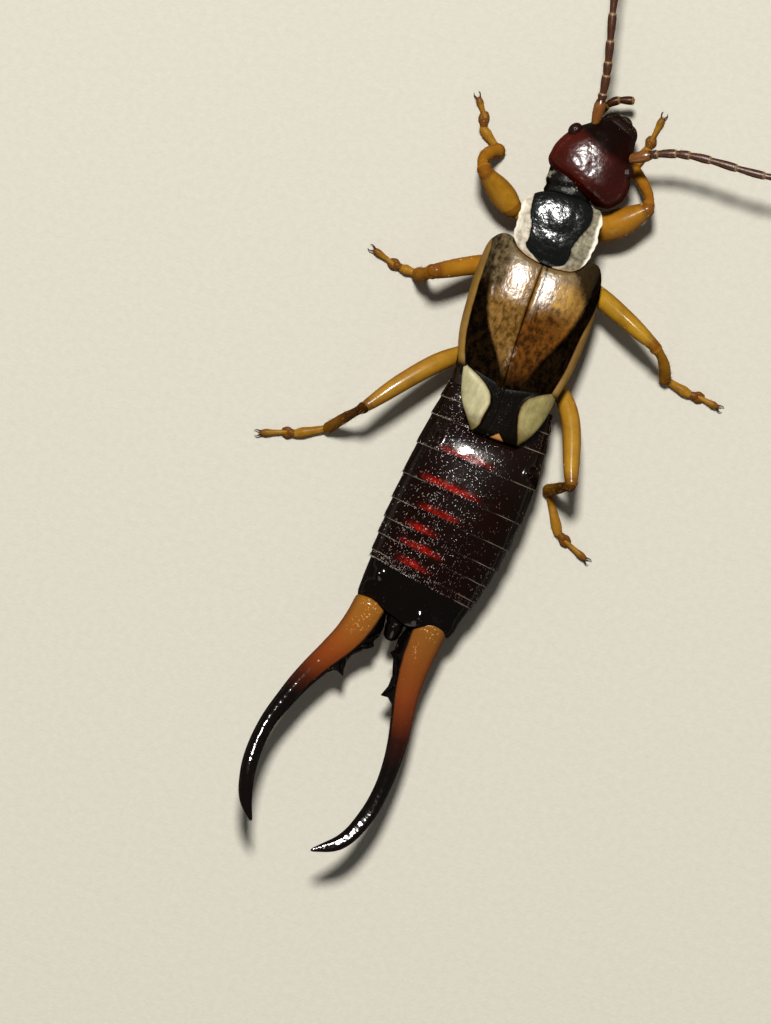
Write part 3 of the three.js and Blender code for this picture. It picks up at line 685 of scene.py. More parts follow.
mouth = {
    "labrum": {
        "half": [(0.8, 0.43), (0.92, 0.37), (1.05, 0.24)],
        "high": [(0.8, 1.5), (0.95, 1.43), (1.05, 1.32)],
        "low": [(0.8, 1.16), (1.05, 1.12)],
    },
    "mandible": [(0.36, 0.6, 0.9), (0.37, 0.82, 0.9), (0.26, 0.98, 0.88), (0.06, 1.03, 0.86)],
    "mandibleHalf": ([(0, 0.14), (0.5, 0.13), (1, 0.05)], [(0, 0.15), (1, 0.05)]),
    "labium": [(0.0, 0.1, 0.6), (0.0, 0.6, 0.55), (0.0, 0.95, 0.57)],
    "labiumHalf": ([(0, 0.4), (1, 0.24)], [(0, 0.13), (1, 0.1)]),
    "lipPalp": [(0.2, 0.75, 0.56), (0.3, 0.92, 0.54), (0.2, 1.02, 0.56)],
    "lipPalpJoints": ([0.12, 0.14, 0.14], 0.07, 0.055, 0.65),
    "palpLeft": [(-0.46, 0.4, 0.74), (-0.66, 0.97, 0.72), (-0.54, 1.3, 0.74), (-0.22, 1.58, 0.76)],
    "palpRight": [(0.38, 0.36, 0.72), (0.42, 0.6, 0.56), (0.36, 0.78, 0.42), (0.22, 0.88, 0.34)],
    "palpJoints": ([0.1, 0.15, 0.28, 0.25, 0.27], 0.12, 0.108, 0.7),
}


def makeMouth():
    relief = [(0, 0.008), (1, 0.002)]
    paint = evenPaint([(3, 3), (30, 2)], ("0a0403", "1a0c06"), (0.34, 0.06, 1), relief)
    finish = look("mouthparts", paint, Specular_IOR_Level=0.25)
    ahead, share = roundEnds(np.linspace(0.8, 1.05, 24), 0.02, 0.05, 8)
    across, level, _ = ovals(ahead, share, mouth["labrum"], 72, (0.75, 0.8))
    notch = 0.03 * bell(across, 0.12) * rise(ahead, 0.98, 1.08)[:, None]
    grid = onHead(across, ahead[:, None] - notch, level)
    hairs = coat(grid, "lip")
    piece("upper_lip", "labrum", [skin(grid)], finish, [hairs])

    parts = [limb(pathOnHead(mouth["labium"]), *mouth["labiumHalf"], 26, 36)[1]]
    for _, sign in sides:
        parts += list(clubs(pathOnHead(mouth["lipPalp"], sign), *mouth["lipPalpJoints"]))[1]
    piece("lower_lip", "labium", parts, finish)

    tones, joint = ("1f0d03", "3e1f07"), (0.4, "a87c40")
    paint = evenPaint([(5, 2), (24, 2)], tones, (0.35, 0.05, 0), [(1, 0.002)], joint)
    palpLook = look("palp", paint, Specular_IOR_Level=0.2)
    for side, sign in sides:
        jaw = limb(pathOnHead(mouth["mandible"], sign), *mouth["mandibleHalf"], 30, 28)[1]
        piece(f"jaw_{side}", f"mandible_{side}", [jaw], finish)
        grids, parts = clubs(pathOnHead(mouth[f"palp{side.title()}"]), *mouth["palpJoints"])
        hairs = [coat(grid, "palp") for grid in grids]
        piece(f"palp_{side}", f"maxillary_palp_{side}", parts, palpLook, hairs)
    print("head: mouthparts")


# Feelers

feelers = {
    "left": [(-0.02, 10.13, 1.45), (-0.1, 10.95, 1.62), (-0.62, 13.1, 1.9), (-1.3, 15.8, 1.85),
             (-2.1, 18.35, 1.35)],
    "right": [(1.0, 9.58, 1.45), (1.78, 10.02, 1.62), (4.6, 10.42, 1.95), (7.0, 10.95, 1.85),
              (9.1, 11.9, 1.35)],
    "lengths": [0.63, 0.16, 0.46, 0.33, 0.52, 0.67, 0.7, 0.72, 0.74, 0.74, 0.72, 0.7, 0.66, 0.6],
    "sizes": (0.12, 0.08, 0.74),  # half widths at the root and the tip, and the share at a neck
    "scape": [(0, 0.0899), (0.1, 0.1044), (0.55, 0.145), (0.9, 0.13775), (1, 0.116)],
    "ball": 0.1,
}


# Each feeler: fourteen clubs along its path, the first one stouter, with pale rings between them.
def makeFeelers():
    tones, joint = ("281208", "4f2b14"), (0.7, "8a6c4a")
    paint = evenPaint([(4, 3), (40, 2)], tones, (0.36, 0.06, 1), [(1, 0.003), (0, 0.006)], joint)
    thread = look("feeler", paint, Coat_Weight=0.15, Coat_Roughness=0.3)
    tones, joint = ("472710", "7c4d1e"), (1, "2d150a")
    paint = evenPaint([(4, 3), (20, 2)], tones, (0.26, 0.05, 0), [(1, 0.002)], joint, 0.8)
    root = look("feeler_root", paint, Coat_Weight=0.3, Coat_Roughness=0.2)

    def joint(t):
        return rise(t, 0.92, 1.0)

    lengths = feelers["lengths"]
    for side, _ in sides:
        path = [at(*spot) for spot in feelers[side]]
        grids, parts = clubs(path, lengths, *feelers["sizes"], 18, 16)
        span = (0.0, lengths[0] / sum(lengths))
        grid, scape = limb(path, feelers["scape"], None, 30, 28, span, (0.4, 0.5), joint=joint)
        ball = limb(path, feelers["ball"], None, 4, 20, (-0.004, 0.004), joint=joint)[1]
        hairs = [coat(grid, "scape")]
        piece(f"feeler_{side}_root", f"antenna_{side}_scape", [scape, ball], root, hairs)
        hairs = [coat(grid, "thread") for grid in grids[1:]]
        piece(f"feeler_{side}_thread", f"antenna_{side}_flagellum", parts[1:], thread, hairs)
    print("head: feelers")


# Trunk

trunk = {
    "prothorax": {
        "name": "thorax_front",
        "span": (8.0, 6.46),
        "spine": [(0, 0), (9, 0)],
        "half": [(6.46, 0.7), (7.2, 0.8), (8.02, 0.62)],
        "low": [(6.46, 0.86), (7.2, 0.8), (8.02, 0.92)],
        "high": [(6.46, 1.6), (6.95, 1.9), (7.3, 2.0), (7.8, 1.86), (8.02, 1.7)],
    },
    "pterothorax": {
        "name": "thorax_rear",
        "span": (6.5, 2.86),
        "spine": [(0, 0.08), (9, 0.08)],
        "half": [(2.86, 1.25), (3.6, 1.34), (5.4, 1.36), (6.2, 1.26), (6.54, 1.0)],
        "low": [(2.86, 0.78), (4.4, 0.8), (6.54, 0.86)],
        "high": [(2.86, 1.6), (6.54, 1.66)],
    },
}
neck = {"path": [(0.0, 7.9, 1.3), (-0.06, 8.3, 1.32), (-0.16, 8.75, 1.36)], "wide": [(0, 0.62), (1, 0.56)],
        "high": 0.42}


# A length of the trunk: squared ellipses set square to its middle line, the spine.
def trunkGrid(ahead, share, shape, columns):
    across, level, angle = ovals(ahead, share, shape, columns, (0.85, 0.85), 0.45)
    middle, before, behind = (line(ahead + step, *shape["spine"])[:, None] for step in (0, 0.1, -0.1))
    lean = np.arctan((before - behind) / 0.2)
    return middle + across * np.cos(lean), ahead[:, None] - across * np.sin(lean), level, across, angle


def paintThorax(spot):
    cloud, grain = spot.noises((2.5, 4), (22.0, 3))
    hind = onBody(spot)[1].rise(3.6, 3.2) * 0.85
    colour = hind.mix(cloud.tones("1c100b", "4a2d17"), "0d0603")
    return colour, 0.4 + grain * 0.07, [(cloud, 0.02), (grain, 0.006)]


def paintNeck(spot):
    cloud, grain = spot.noises((4.5, 4), (20.0, 3))
    colour = (cloud + grain * 0.3).rise(0.14, 0.3).mix("060403", "7d7a68")
    return colour, 0.4 + grain * 0.08, [(cloud, 0.02), (grain, 0.004)]


# Two lengths of the trunk, folded every 0.85 mm and keeled below, and a neck that is a limb with
# rings, four faint ridges and a groove along its back.
def makeThorax():
    finish = look("thorax", paintThorax, Coat_Weight=0.25, Coat_Roughness=0.25)
    for node, shape in trunk.items():
        ahead, share = roundEnds(np.linspace(*shape["span"], 90), 0.06, 0.06, 8)
        folds = 1 - 0.03 * bell(np.mod(ahead - shape["span"][1], 0.85) - 0.42, 0.05)
        right, place, level, across, angle = trunkGrid(ahead, share * folds, shape, 110)
        level = level + 0.05 * bell(across, 0.05) * (np.sin(angle) < 0)
        piece(shape["name"], node, [skin(at(right, place, level))], finish)

    def swell(t, angle):
        groove = 0.05 * bell(np.sin(angle / 2 - math.pi / 4), 0.05)
        return 1 - 0.03 * np.cos(t * 6 * math.pi) + 0.02 * np.cos(4 * angle) - groove

    path = [at(*spot) for spot in neck["path"]]
    body = limb(path, neck["wide"], neck["high"], 60, 90, swell=swell)[1]
    piece("neck_skin", "neck", [body], look("neck", paintNeck, Specular_IOR_Level=0.3))
    print("trunk: thorax and neck")


shield = {
    "front": [(-1, 7.65), (-0.93, 7.84), (-0.79, 8.0), (-0.5, 8.18), (0, 8.27), (0.5, 8.25), (0.7, 8.16),
              (0.9, 8.1), (1, 7.92)],
    "back": [(-1, 6.8), (-0.9, 6.67), (-0.67, 6.52), (-0.4, 6.44), (0, 6.39), (0.41, 6.41), (0.83, 6.55),
             (0.95, 6.68), (1, 6.8)],
    "left": [(6.8, 0.96), (7.1, 1.02), (7.37, 1.025), (7.65, 1.07)],
    "right": [(6.8, 0.97), (7.14, 1.05), (7.43, 1.01), (7.92, 0.98)],
    "discLeft": [(6.38, 0.09), (6.53, 0.35), (6.66, 0.57), (6.9, 0.6), (7.2, 0.64), (7.5, 0.77),
                 (7.73, 0.82), (8.0, 0.84), (8.3, 0.8)],
    "discRight": [(6.42, 0.2), (6.53, 0.42), (6.71, 0.51), (7.05, 0.5), (7.44, 0.62), (7.78, 0.73),
                  (8.07, 0.68), (8.25, 0.55), (8.3, 0.5)],
    "top": 2.2,
    "groove": (4.5, (0.0, 7.28, -0.026, 0.9)),
    "dimples": (0.7, (-0.36, 7.55, -0.01, 0.16), (0.34, 7.55, -0.01, 0.16)),
    "marginHalf": 0.025,  # half the thickness of the pale margin, and how much more the disc has
    "discHalf": 0.09,
}


# The domed shield: top - 0.16 right squared - bow (ahead - 7.25) squared, lowered beyond the edge
# of its black disc, where a thin pale margin curls up again to its rim.
def makeShield():
    along = np.sin(np.linspace(-1, 1, 170) * math.pi / 2)[:, None]
    side = np.sin(np.linspace(-1, 1, 200) * math.pi / 2)[None]
    t = (along + 1) / 2
    ahead = line(side, *shield["front"]) * (1 - t) + line(side, *shield["back"]) * t
    level = shield["front"][0][1] * (1 - t) + shield["back"][0][1] * t
    half = np.where(side < 0, line(level, *shield["left"]), line(level, *shield["right"]))
    wave = 0.012 * np.sin(ahead * 13) + 0.008 * np.sin(ahead * 29 + 1)
    right = side * half * (1 + rise(np.abs(side), 0.8, 1) * wave)
    disc = np.where(right < 0, line(ahead, *shield["discLeft"]), line(ahead, *shield["discRight"]))
    margin = rise(np.abs(right) - disc, -0.03, 0.04)
    # rim: the margin's pale edge, whitened by a painted highlight that is stronger on the right
    rim = rise(np.abs(side), 0.88, 0.97) * (0.6 + 0.4 * (side > 0))
    bow = np.where(ahead > 7.25, 0.2, 0.13)
    top = shield["top"] - 0.16 * right**2 - bow * (ahead - 7.25) ** 2
    top -= 0.05 * margin - 0.05 * rise(np.abs(side), 0.86, 1.0) * margin
    top += bumps(right, ahead, *shield["groove"]) + bumps(right, ahead, *shield["dimples"])
    edge = np.sqrt(np.clip(1 - side**8, 0, 1) * np.clip(1 - along**10, 0, 1))
    depth = edge * (shield["marginHalf"] + shield["discHalf"] * (1 - margin))
    middle = top - 0.03 - shield["discHalf"] * (1 - margin)
    hind = rise(along, 0.93, 0.98)
    upper, lower = at(right, ahead, middle + depth), at(right, ahead, middle - depth)
    body = pillow(upper, lower, margin=margin, rim=rim, hind=hind, across=right)

    def paintShield(spot):
        cloud, knobs, grain = spot.noises((3.4, 1.5), (8.5, 2), (16.0, 3))
        rim = spot.carried("rim")
        margin = (spot.carried("margin") + knobs * 0.45 + cloud * 0.25).rise(0.3, 0.7)
        glassy = (knobs * 1.1 + cloud * 0.5 + 0.5).mix("332f20", "857e66")
        pale = (knobs * 0.9 + cloud * 0.5 + 0.6).mix("7a7060", "cfc8b8").under(
            (spot.carried("across").rise(0.3, 0.6) * (1 - rim) * 0.85, glassy),
            # the pale edge with its painted highlight
            (rim, "dcd6c8"),
            (spot.carried("hind") * 0.6, "b58a5e"),
        )
        colour = margin.mix(grain.tones("050504", "0f100e"), pale)
        relief = [(cloud, 0.014), (knobs, 0.0065), (grain, 0.0006)]
        return colour, 0.2 + margin * 0.2 + knobs * 0.05, relief, margin * 0.6

    finish = look("shield", paintShield, Specular_IOR_Level=0.55, Specular_Tint=(0.93, 0.98, 1.0, 1.0))
    piece("shield_plate", "pronotum", [body], finish)
    print("trunk: shield")


# Wing cases and wing tips

wings = {
    "ridge": [(1.9, 2.16), (3.2, 2.2), (4.5, 2.28), (5.5, 2.27), (6.1, 2.18), (6.7, 2.0)],
    "middle": 0.05,  # the middle and the half width of the arch over both cases
    "reach": 1.62,
    "gap": 0.003,  # half of the gap between the two cases
    "depth": 0.09,  # half the thickness of a case
    "seam": [(3.0, 0.1), (5.0, -0.02), (6.7, -0.03)],
    "back": [(0, 3.08), (1, 3.36)],
    "frontLeft": [(0, 6.5), (0.23, 6.55), (0.405, 6.62), (0.55, 6.74), (0.69, 6.82), (0.81, 6.8),
                  (0.917, 6.66), (0.977, 6.5), (1, 6.36)],
    "frontRight": [(0, 6.5), (0.23, 6.53), (0.405, 6.58), (0.55, 6.7), (0.66, 6.82), (0.78, 6.86),
                   (0.87, 6.78), (0.95, 6.54), (1, 6.25)],
    "left": [(3.2, -1.12), (4.0, -1.4), (5.0, -1.53), (5.8, -1.57), (6.36, -1.535)],
    "right": [(3.2, 1.42), (4.0, 1.58), (5.0, 1.65), (5.8, 1.62), (6.25, 1.56)],
    "foldLeft": [(3.3, 0.0), (3.5, -0.1), (4.0, -0.44), (4.5, -0.78), (5.0, -1.0), (5.6, -1.14),
                 (6.3, -1.32)],
    "foldRight": [(3.3, 0.45), (3.5, 0.54), (4.0, 0.73), (4.5, 0.95), (5.0, 1.17), (5.4, 1.27), (6.3, 1.36)],
}


# The height of the folded wings: ridge(ahead) - bow spread squared - 0.7 spread to the seventh,
# with spread the distance from the middle over reach, less a shallow valley along the seam in front.
def wingTop(right, ahead):
    spread = np.abs(right - wings["middle"]) / wings["reach"]
    front = rise(ahead, 5.0, 5.7)
    bow = (0.18 + 0.08 * front) * spread**2
    return line(ahead, *wings["ridge"]) - bow - 0.7 * spread**7 - 0.04 * front * bell(right, 0.3)


# A plate's grid: its rows go from front(v) to back(v), with v the share of the way from the inner
# to the outer edge, and these two edges are read where the row is at v = 1. Also gives how thick
# the plate is there, from 1 down to 0 at the rounded rim.
def plateGrid(rows, columns, front, back, inner, outer):
    along = np.sin(np.linspace(-1, 1, rows) * math.pi / 2)[:, None]
    side = np.sin(np.linspace(-1, 1, columns) * math.pi / 2)[None]
    t, v = (along + 1) / 2, (side + 1) / 2
    ahead = line(v, *front) * (1 - t) + line(v, *back) * t
    level = front[-1][1] * (1 - t) + back[-1][1] * t
    right = line(level, *inner) * (1 - v) + line(level, *outer) * v
    rim = np.where(side < 0, side**40, side**10)
    thick = np.sqrt(np.clip(1 - rim, 0, 1) * np.clip(1 - along**14, 0, 1))
    return right, ahead, thick


# A closed plate below top: its middle is depth below it, and half its thickness is depth * thick.
def plate(right, ahead, top, depth, thick, **values):
    upper, lower = (at(right, ahead, top - depth + sign * depth * thick) for sign in (1, -1))
    return pillow(upper, lower, **values)


caseLooks = {
    "left": {
        "browns": ("46300f", "7f5f33"),
        "tans": ("654a21", "907039"),
        "shade": "665840",
        "slant": 0.0,  # how much the shaded shoulder widens forwards
        "fade": 0.6,  # how far the black band pales in front
        "sunny": 0.0,  # strength of the golden patch behind the shoulder
        "borderEnd": 7.4,
    },
    "right": {
        "browns": ("301b09", "633b13"),
        "tans": ("74552a", "a07f49"),
        # painted shade: the right shoulder nearly black on its side away from the light
        "shade": "1c1208",
        "slant": 0.8,
        "fade": 0.0,
        "sunny": 1.0,
        "borderEnd": 6.3,
    },
}


# Golden and mottled within the fold, black outside it and at the hind end, tan along the edge.
def paintWingCase(side, sign):
    tones = caseLooks[side]

    def paintIt(spot):
        right, ahead = onBody(spot)
        cloud, grain = spot.noises((2.0, 4), (14.0, 3))
        patch, flakes = spot.noises((5.0, 2, (1.2, 0.8, 1)), (9.0, 2, (1.2, 0.8, 1)))
        wavy = ahead + cloud * 0.3
        gold = (flakes * 0.9 + patch * 0.6 + cloud * 0.4 + 0.5).mix("4f3511", "946e31")
        brown = (flakes * 1.2 + patch * 0.9 + cloud * 0.5 + 0.5).mix(*tones["browns"])
        # painted highlight: a pale streak beside the seam in front
        pale = abs(right - 0.1).rise(0.09, 0.02) * ahead.rise(4.9, 5.3) * ahead.rise(6.3, 6.1)
        dark = abs(right - 0.2 + (ahead - 5.5) * 0.12).rise(0.045, 0.01) * ahead.rise(4.7, 5.3)
        # painted glint: a grey-pink patch over the seam behind the middle
        painted_case_glint = abs(right).rise(0.14, 0.04) * ahead.rise(3.6, 3.8) * ahead.rise(4.3, 4.1)
        sunny = abs(right - 0.72).rise(0.3, 0.08) * abs(ahead - 5.75).rise(0.5, 0.2) * tones["sunny"]
        # On the right case the dark shoulder is painted shade.
        ragged = right * sign + (ahead - 6.4) * tones["slant"] + cloud * 0.15 + flakes * 0.25
        shoulder = ragged.rise(0.68, 0.95) * ahead.rise(5.1, 5.7)
        disc = (ahead + cloud * 0.5).rise(5.8, 4.9).mix(gold, brown).under(
            (wavy.rise(4.4, 3.3) * 0.6, "1a0e07"),
            (wavy.rise(5.9, 6.4) * 0.6, "5d543f"),
            (pale * (patch * 0.8 + 0.5), "93866e"),
            (dark * 0.8, "140b07"),
            (abs(right + 0.04).rise(0.05, 0.01) * ahead.rise(4.2, 5.0) * 0.5, "47200b"),
            (painted_case_glint * (flakes * 2 + 0.2), "94806c"),
            (sunny * (patch + flakes + 0.7), "a27c36"),
            (shoulder * 0.92, (flakes + patch * 1.2 + 0.35).mix("160e05", tones["shade"])),
        )
        black = (grain * 0.5 + patch * 0.9 + 0.2).mix("050302", "241708")
        outside = spot.carried("beyond") + flakes * 0.06 + grain * 0.03 + cloud * 0.05
        band = outside.rise(-0.08, 0.05) * (1 - wavy.rise(5.4, 6.2) * tones["fade"])
        hind = (ahead + abs(right - 0.25) * -0.35 + grain * 0.12).rise(3.65, 3.15)
        last = tones["borderEnd"]
        wide = (0.2 + cloud * 0.02) * ahead.rise(last, last - 1.6)
        border = (wide - spot.carried("inside")).rise(0.0, 0.04) * ahead.rise(3.3, 3.55)
        tan = (cloud * 0.6 + 0.5).mix(*tones["tans"])
        colour = disc.under((band.math("MAXIMUM", band, hind), black), (border, tan))
        sheen = wavy.rise(5.1, 5.8) * (1 - band) * (1 - shoulder * 0.8)
        return colour, 0.29 + grain * 0.05, [(patch, 0.008), (flakes, 0.0016)], 1 - sheen

    return paintIt


# Each case follows wingTop(), with a keel along its fold, a raised rim and a front that dips
# beneath the shield.
def makeWingCases():
    for side, sign in sides:
        name = side.title()
        seam = [(ahead, right + sign * wings["gap"]) for ahead, right in wings["seam"]]
        right, ahead, thick = plateGrid(180, 130, wings[f"front{name}"], wings["back"], seam, wings[side])
        beyond = (right - line(ahead, *wings[f"fold{name}"])) * sign  # millimetres outside the fold
        inside = (line(ahead, *wings[side]) - right) * sign  # and inside the outer edge
        top = wingTop(right, ahead)
        top += 0.025 * bell(beyond + 0.03, 0.07) * rise(ahead, 3.6, 4.4) - 0.03 * rise(beyond, 0.0, 0.15)
        top += 0.05 * rise(-inside, -0.2, -0.05)
        top -= 0.004 * bell(right - line(ahead, *wings["seam"]), 0.02)
        top += 0.012 * bell(right - 0.09, 0.06) * rise(ahead, 4.8, 5.4) * (1 - rise(ahead, 6.0, 6.3))
        covered = rise(ahead - line(right / 0.96, *shield["back"]), -0.12, 0.06)
        top -= 0.2 * covered * (1 - rise(np.abs(right), 0.8, 0.98))
        body = plate(right, ahead, top, wings["depth"], thick, beyond=beyond, inside=inside)
        finish = look(f"wing_case_{side}", paintWingCase(side, sign), Specular_IOR_Level=0.75)
        piece(f"wing_case_{side}", f"elytron_{side}", [body], finish)
    print("wings: cases")


wingTips = {
    "left": {
        "inner": [(1.86, 0.14), (2.3, 0.28), (3.3, 0.3)],
        "outer": [(1.86, -0.28), (2.1, -0.47), (2.5, -0.76), (3.0, -0.95), (3.3, -1.02)],
        "pale": [(1.85, -0.3), (2.0, -0.2), (2.4, -0.13), (2.75, -0.1), (3.0, -0.25), (3.2, -0.55),
                 (3.4, -0.98)],
        "raised": 0.0,
        "creams": ("857e5c", "bbb691"),
    },
    "right": {
        "inner": [(1.88, 0.02), (2.3, 0.1), (3.3, 0.12)],
        "outer": [(1.88, 0.9), (2.1, 1.08), (2.5, 1.28), (3.0, 1.4), (3.45, 1.43)],
        "pale": [(1.85, 0.95), (2.0, 0.9), (2.3, 0.8), (2.9, 0.7), (3.1, 0.78), (3.3, 1.05), (3.5, 1.4)],
        "raised": 0.02,
        "creams": ("605630", "9b9262"),
    },
    "front": [(0, 3.2), (1, 3.48)],
    "back": [(0, 1.87), (1, 1.89)],
    "depth": 0.11,
}


def paintTip(creams):
    def paintIt(spot):
        right, ahead = onBody(spot)
        pale = spot.carried("pale")
        cloud, vein, grain = spot.noises((3.0, 4), (5.0, 3, (1.4, 0.5, 1)), (22.0, 3))
        cream = (vein * 0.7 + cloud * 0.5 + 0.5).mix(*creams).under(
            ((ahead + cloud * 0.2).rise(2.5, 2.0), "554c28"),
            (abs(pale).rise(0.07, 0.0) * 0.5, "7a5226"),
        )
        # painted glints: grey specks over the black middle of the folded wings
        painted_tip_glints = (grain + vein * 0.6).rise(0.25, 0.5) * abs(right - 0.15).rise(0.45, 0.1) * 0.6
        dot = (0.2 - abs(right - 0.385) - (ahead - 1.88) * 1.1).rise(0.0, 0.04)
        black = grain.tones("030201", "0b0703").under((painted_tip_glints, "55503f"), (dot, "a87440"))
        mask = (pale + grain * 0.02 + cloud * 0.03).rise(-0.02, 0.03)
        relief = [(vein, 0.004), (grain, 0.001)]
        return mask.mix(black, cream), 0.38 + grain * 0.06, relief, 0.9 - mask * 0.5

    return paintIt


# The tip of one folded wing: a low scale behind the case, pale outside and black within.
def makeWingTips():
    for side, sign in sides:
        shape = wingTips[side]
        edges = (wingTips["front"], wingTips["back"], shape["inner"], shape["outer"])
        right, ahead, thick = plateGrid(90, 90, *edges)
        pale = (right - line(ahead, *shape["pale"])) * sign
        top = wingTop(right, ahead) - 0.045 + shape["raised"]
        top += 0.02 * bell(pale, 0.05) + 0.02 * bell(pale - 0.35, 0.2)
        body = plate(right, ahead, top, wingTips["depth"], thick, pale=pale)
        finish = look(f"wing_tip_{side}", paintTip(shape["creams"]), Specular_IOR_Level=0.4)
        piece(f"wing_tip_{side}", f"hindwing_tip_{side}", [body], finish)
    print("wings: tips")


# Abdomen

abdomen = {
    "front": 2.95,
    "spine": [(-3.2, -0.28), (-2.5, -0.22), (-2, -0.15), (-1, -0.025), (0, 0.065), (1, 0.13), (3, 0.15)],
    "half": [(-3.2, 1.26), (-2.9, 1.31), (-2, 1.47), (-1, 1.59), (0, 1.63), (1, 1.62), (2, 1.53), (3, 1.38)],
    "low": [(-3.2, 0.84), (-2.6, 0.68), (-1, 0.58), (0.5, 0.55), (2, 0.6), (3, 0.74)],
    "high": [(-3.2, 1.6), (-2.6, 1.82), (-1, 2.1), (0.6, 2.14), (1.65, 2.02), (2.25, 1.68), (3, 1.5)],
    "edges": [2.45, 1.95, 1.08, 0.2, -0.5, -1.05, -1.5, -1.95, -2.12],
    "tilt": [(-2.1, 0.0), (-1.3, -0.05), (-0.2, -0.05), (1.2, 0.0)],  # how steeply its back leans right
    "step": 0.02,
    "roll": 0.006,
    # red: where the painted red glints of light through the rings' membranes lie
    "red": {2: (-0.8, 0.5), 3: (-1.0, 0.42), 4: (-0.78, 0.12), 5: (-0.95, -0.3), 6: (-0.92, 0.0),
            7: (-0.85, -0.15)},  # on which rings, and from where to where, the red glints lie
    "knobs": (0.08 / 0.17, (-0.98, 1.45, 0.1, 0.08), (1.4, 1.35, 0.1, 0.08)),
}


def paintAbdomen(spot):
    right, ahead = onBody(spot)
    cloud, grain, streak = spot.noises((1.6, 2), (12.0, 3), (14.0, 3, (1.0, 0.35, 1)))
    across = spot.carried("across")
    far = abs(across)
    domes = spot.spots(15.0).rise(0.42, 0.0) * (across + cloud * 0.3).rise(1.1, 0.3)
    domes = domes * spot.noise(6.0, 1).rise(-0.4, 0.15)
    # painted light: red glints where light shines through the membranes before each ring's hind edge, mostly
    # left of the middle
    glow = spot.carried("red") * (0.75 + streak * 0.8 + grain * 0.7 + cloud * 0.3)
    dashes = (streak + grain * 0.5).rise(0.15, 0.5) * (0.03 + spot.carried("late") * 0.35)
    broken = far.rise(0.85, 1.15) * (0.75 + cloud * 0.8).rise(0.2, 0.9)
    colour = cloud.tones("070201", "150502").under(
        (far.rise(0.9, 1.4) * 0.6, "0c0603"),
        (spot.carried("up").rise(-0.1, -0.4), "4a2413"),
        (glow.rise(0.05, 1.1), "860f05"),
        (spot.carried("lip") * dashes.math("MAXIMUM", dashes, broken * 0.65), "a89a84"),
    )
    roughness = 0.14 + grain * 0.03 + ahead.rise(0.6, 1.2) * 0.04
    relief = [(cloud, 0.004), (grain, 0.0012), (domes, 0.0065)]
    return colour, roughness, relief, ahead.rise(1.0, 0.4) * 0.45


def paintHair(spot):
    right, ahead = onBody(spot)
    tone = spot.noise(5.0, 2)
    # painted light: hairs darker towards the right side, away from the light, and near white around the
    # back's highlight
    shade = (tone * 1.8 + 0.6) * (0.3 + right.rise(0.7, -0.1) * 0.7)
    lit = abs(right + 0.3).rise(0.55, 0.15) * abs(ahead - 1.6).rise(0.5, 0.15)
    return shade.mix("2a1a17", "d8c4c0").under((lit * 0.85, "f2f0ff")), 0.3 + tone * 0.05, []


# The rings of the abdomen: within each ring the girth grows backwards from 1 - step to 1, rolls
# over its hind edge and drops to the next ring.
def makeAbdomen():
    shape = abdomen
    rows, girth, since, ring = [], [], [], []
    front = shape["front"]
    for index, edge in enumerate(shape["edges"]):
        t = np.r_[np.linspace(0, 0.9, 20), np.linspace(0.92, 1, 9)]
        place = front + (edge - front) * t
        lip = np.clip((place - edge) / 0.03, 0, 1)
        rows.append(place)
        rolled = shape["roll"] * (1 - np.sqrt(1 - (1 - lip) ** 2))
        girth.append(1 - shape["step"] * (1 - rise(t, 0, 1)) - rolled)
        since.append(place - edge)
        ring.append(np.full_like(place, index))
        front = edge - 0.004
    ahead, share = roundEnds(np.concatenate(rows), 0.03, 0.03, 6)
    girth, since, ring = (np.pad(np.concatenate(value), 6, "edge") for value in (girth, since, ring))
    since, ring = since[:, None], ring[:, None]
    right, place, level, across, angle = trunkGrid(ahead, share * girth, shape, 200)
    up = np.sin(angle) + 0 * right
    lean = line(place, *shape["tilt"]) * across * rise(up, 0.0, 0.5)
    level = level + 0.02 * bell(up + 0.12, 0.06) - lean
    level = level + bumps(right, place, *shape["knobs"]) * (up > 0)
    level = level + 0.008 * np.sin(across * 9) * bell(since - 0.12, 0.09) * (up > 0.2)
    red = np.zeros_like(right)
    deep = rise(since, 0.005, 0.09) * (1 - rise(since, 0.1, 0.34)) * (up > 0)
    for index, (first, last) in shape["red"].items():
        within = rise(right, first - 0.35, first + 0.3) * (1 - rise(right, last - 0.4, last + 0.4))
        red += within * deep * (ring == index)
    lip = (1 - rise(since, 0.007, 0.018)) * (up > -0.2)
    grid = at(right, place, level)
    body = skin(grid, red=red, lip=lip, late=ring > 6.5, across=across, up=up)

    def sparse(row, column):
        side = np.cos(2 * math.pi * column)
        return (column < 0.5) * (0.12 + 0.88 * rise(side, -0.9, -0.6) * (1 - 0.7 * rise(side, 0.1, 0.7)))

    finish = look("abdomen", paintAbdomen, Specular_IOR_Level=0.5)
    upper = coat(grid, "back", sparse, 0.35)
    under = coat(grid, "belly", lambda row, column: column > 0.5, 0.2)
    hairLook = look("short_hair", paintHair)
    piece("abdomen_rings", "abdomen", [body], finish, [upper, under], hairLook)
    print("abdomen: rings")


lastRing = {
    "span": (-2.14, -3.12),
    "girth": [(-3.2, 0.96), (-3.0, 1.0), (-2.6, 0.985), (-2.14, 0.965)],
    "arcs": (0, (-1.2, 0, 0.16, 0.32), (0.55, 0, 0.1, 0.4), (-0.1, 0, -0.13, 0.35)),
    "knobs": (1, (-1.26, -2.3, 0.13, 0.16), (0.12, -2.95, 0.09, 0.14)),
    "tail": [(-0.4, -3.1, 1.24), (-0.4, -3.4, 1.22), (-0.4, -3.58, 1.16)],
    "tailHalf": ([(0, 0.26), (1, 0.19)], [(0, 0.27), (1, 0.19)]),
}


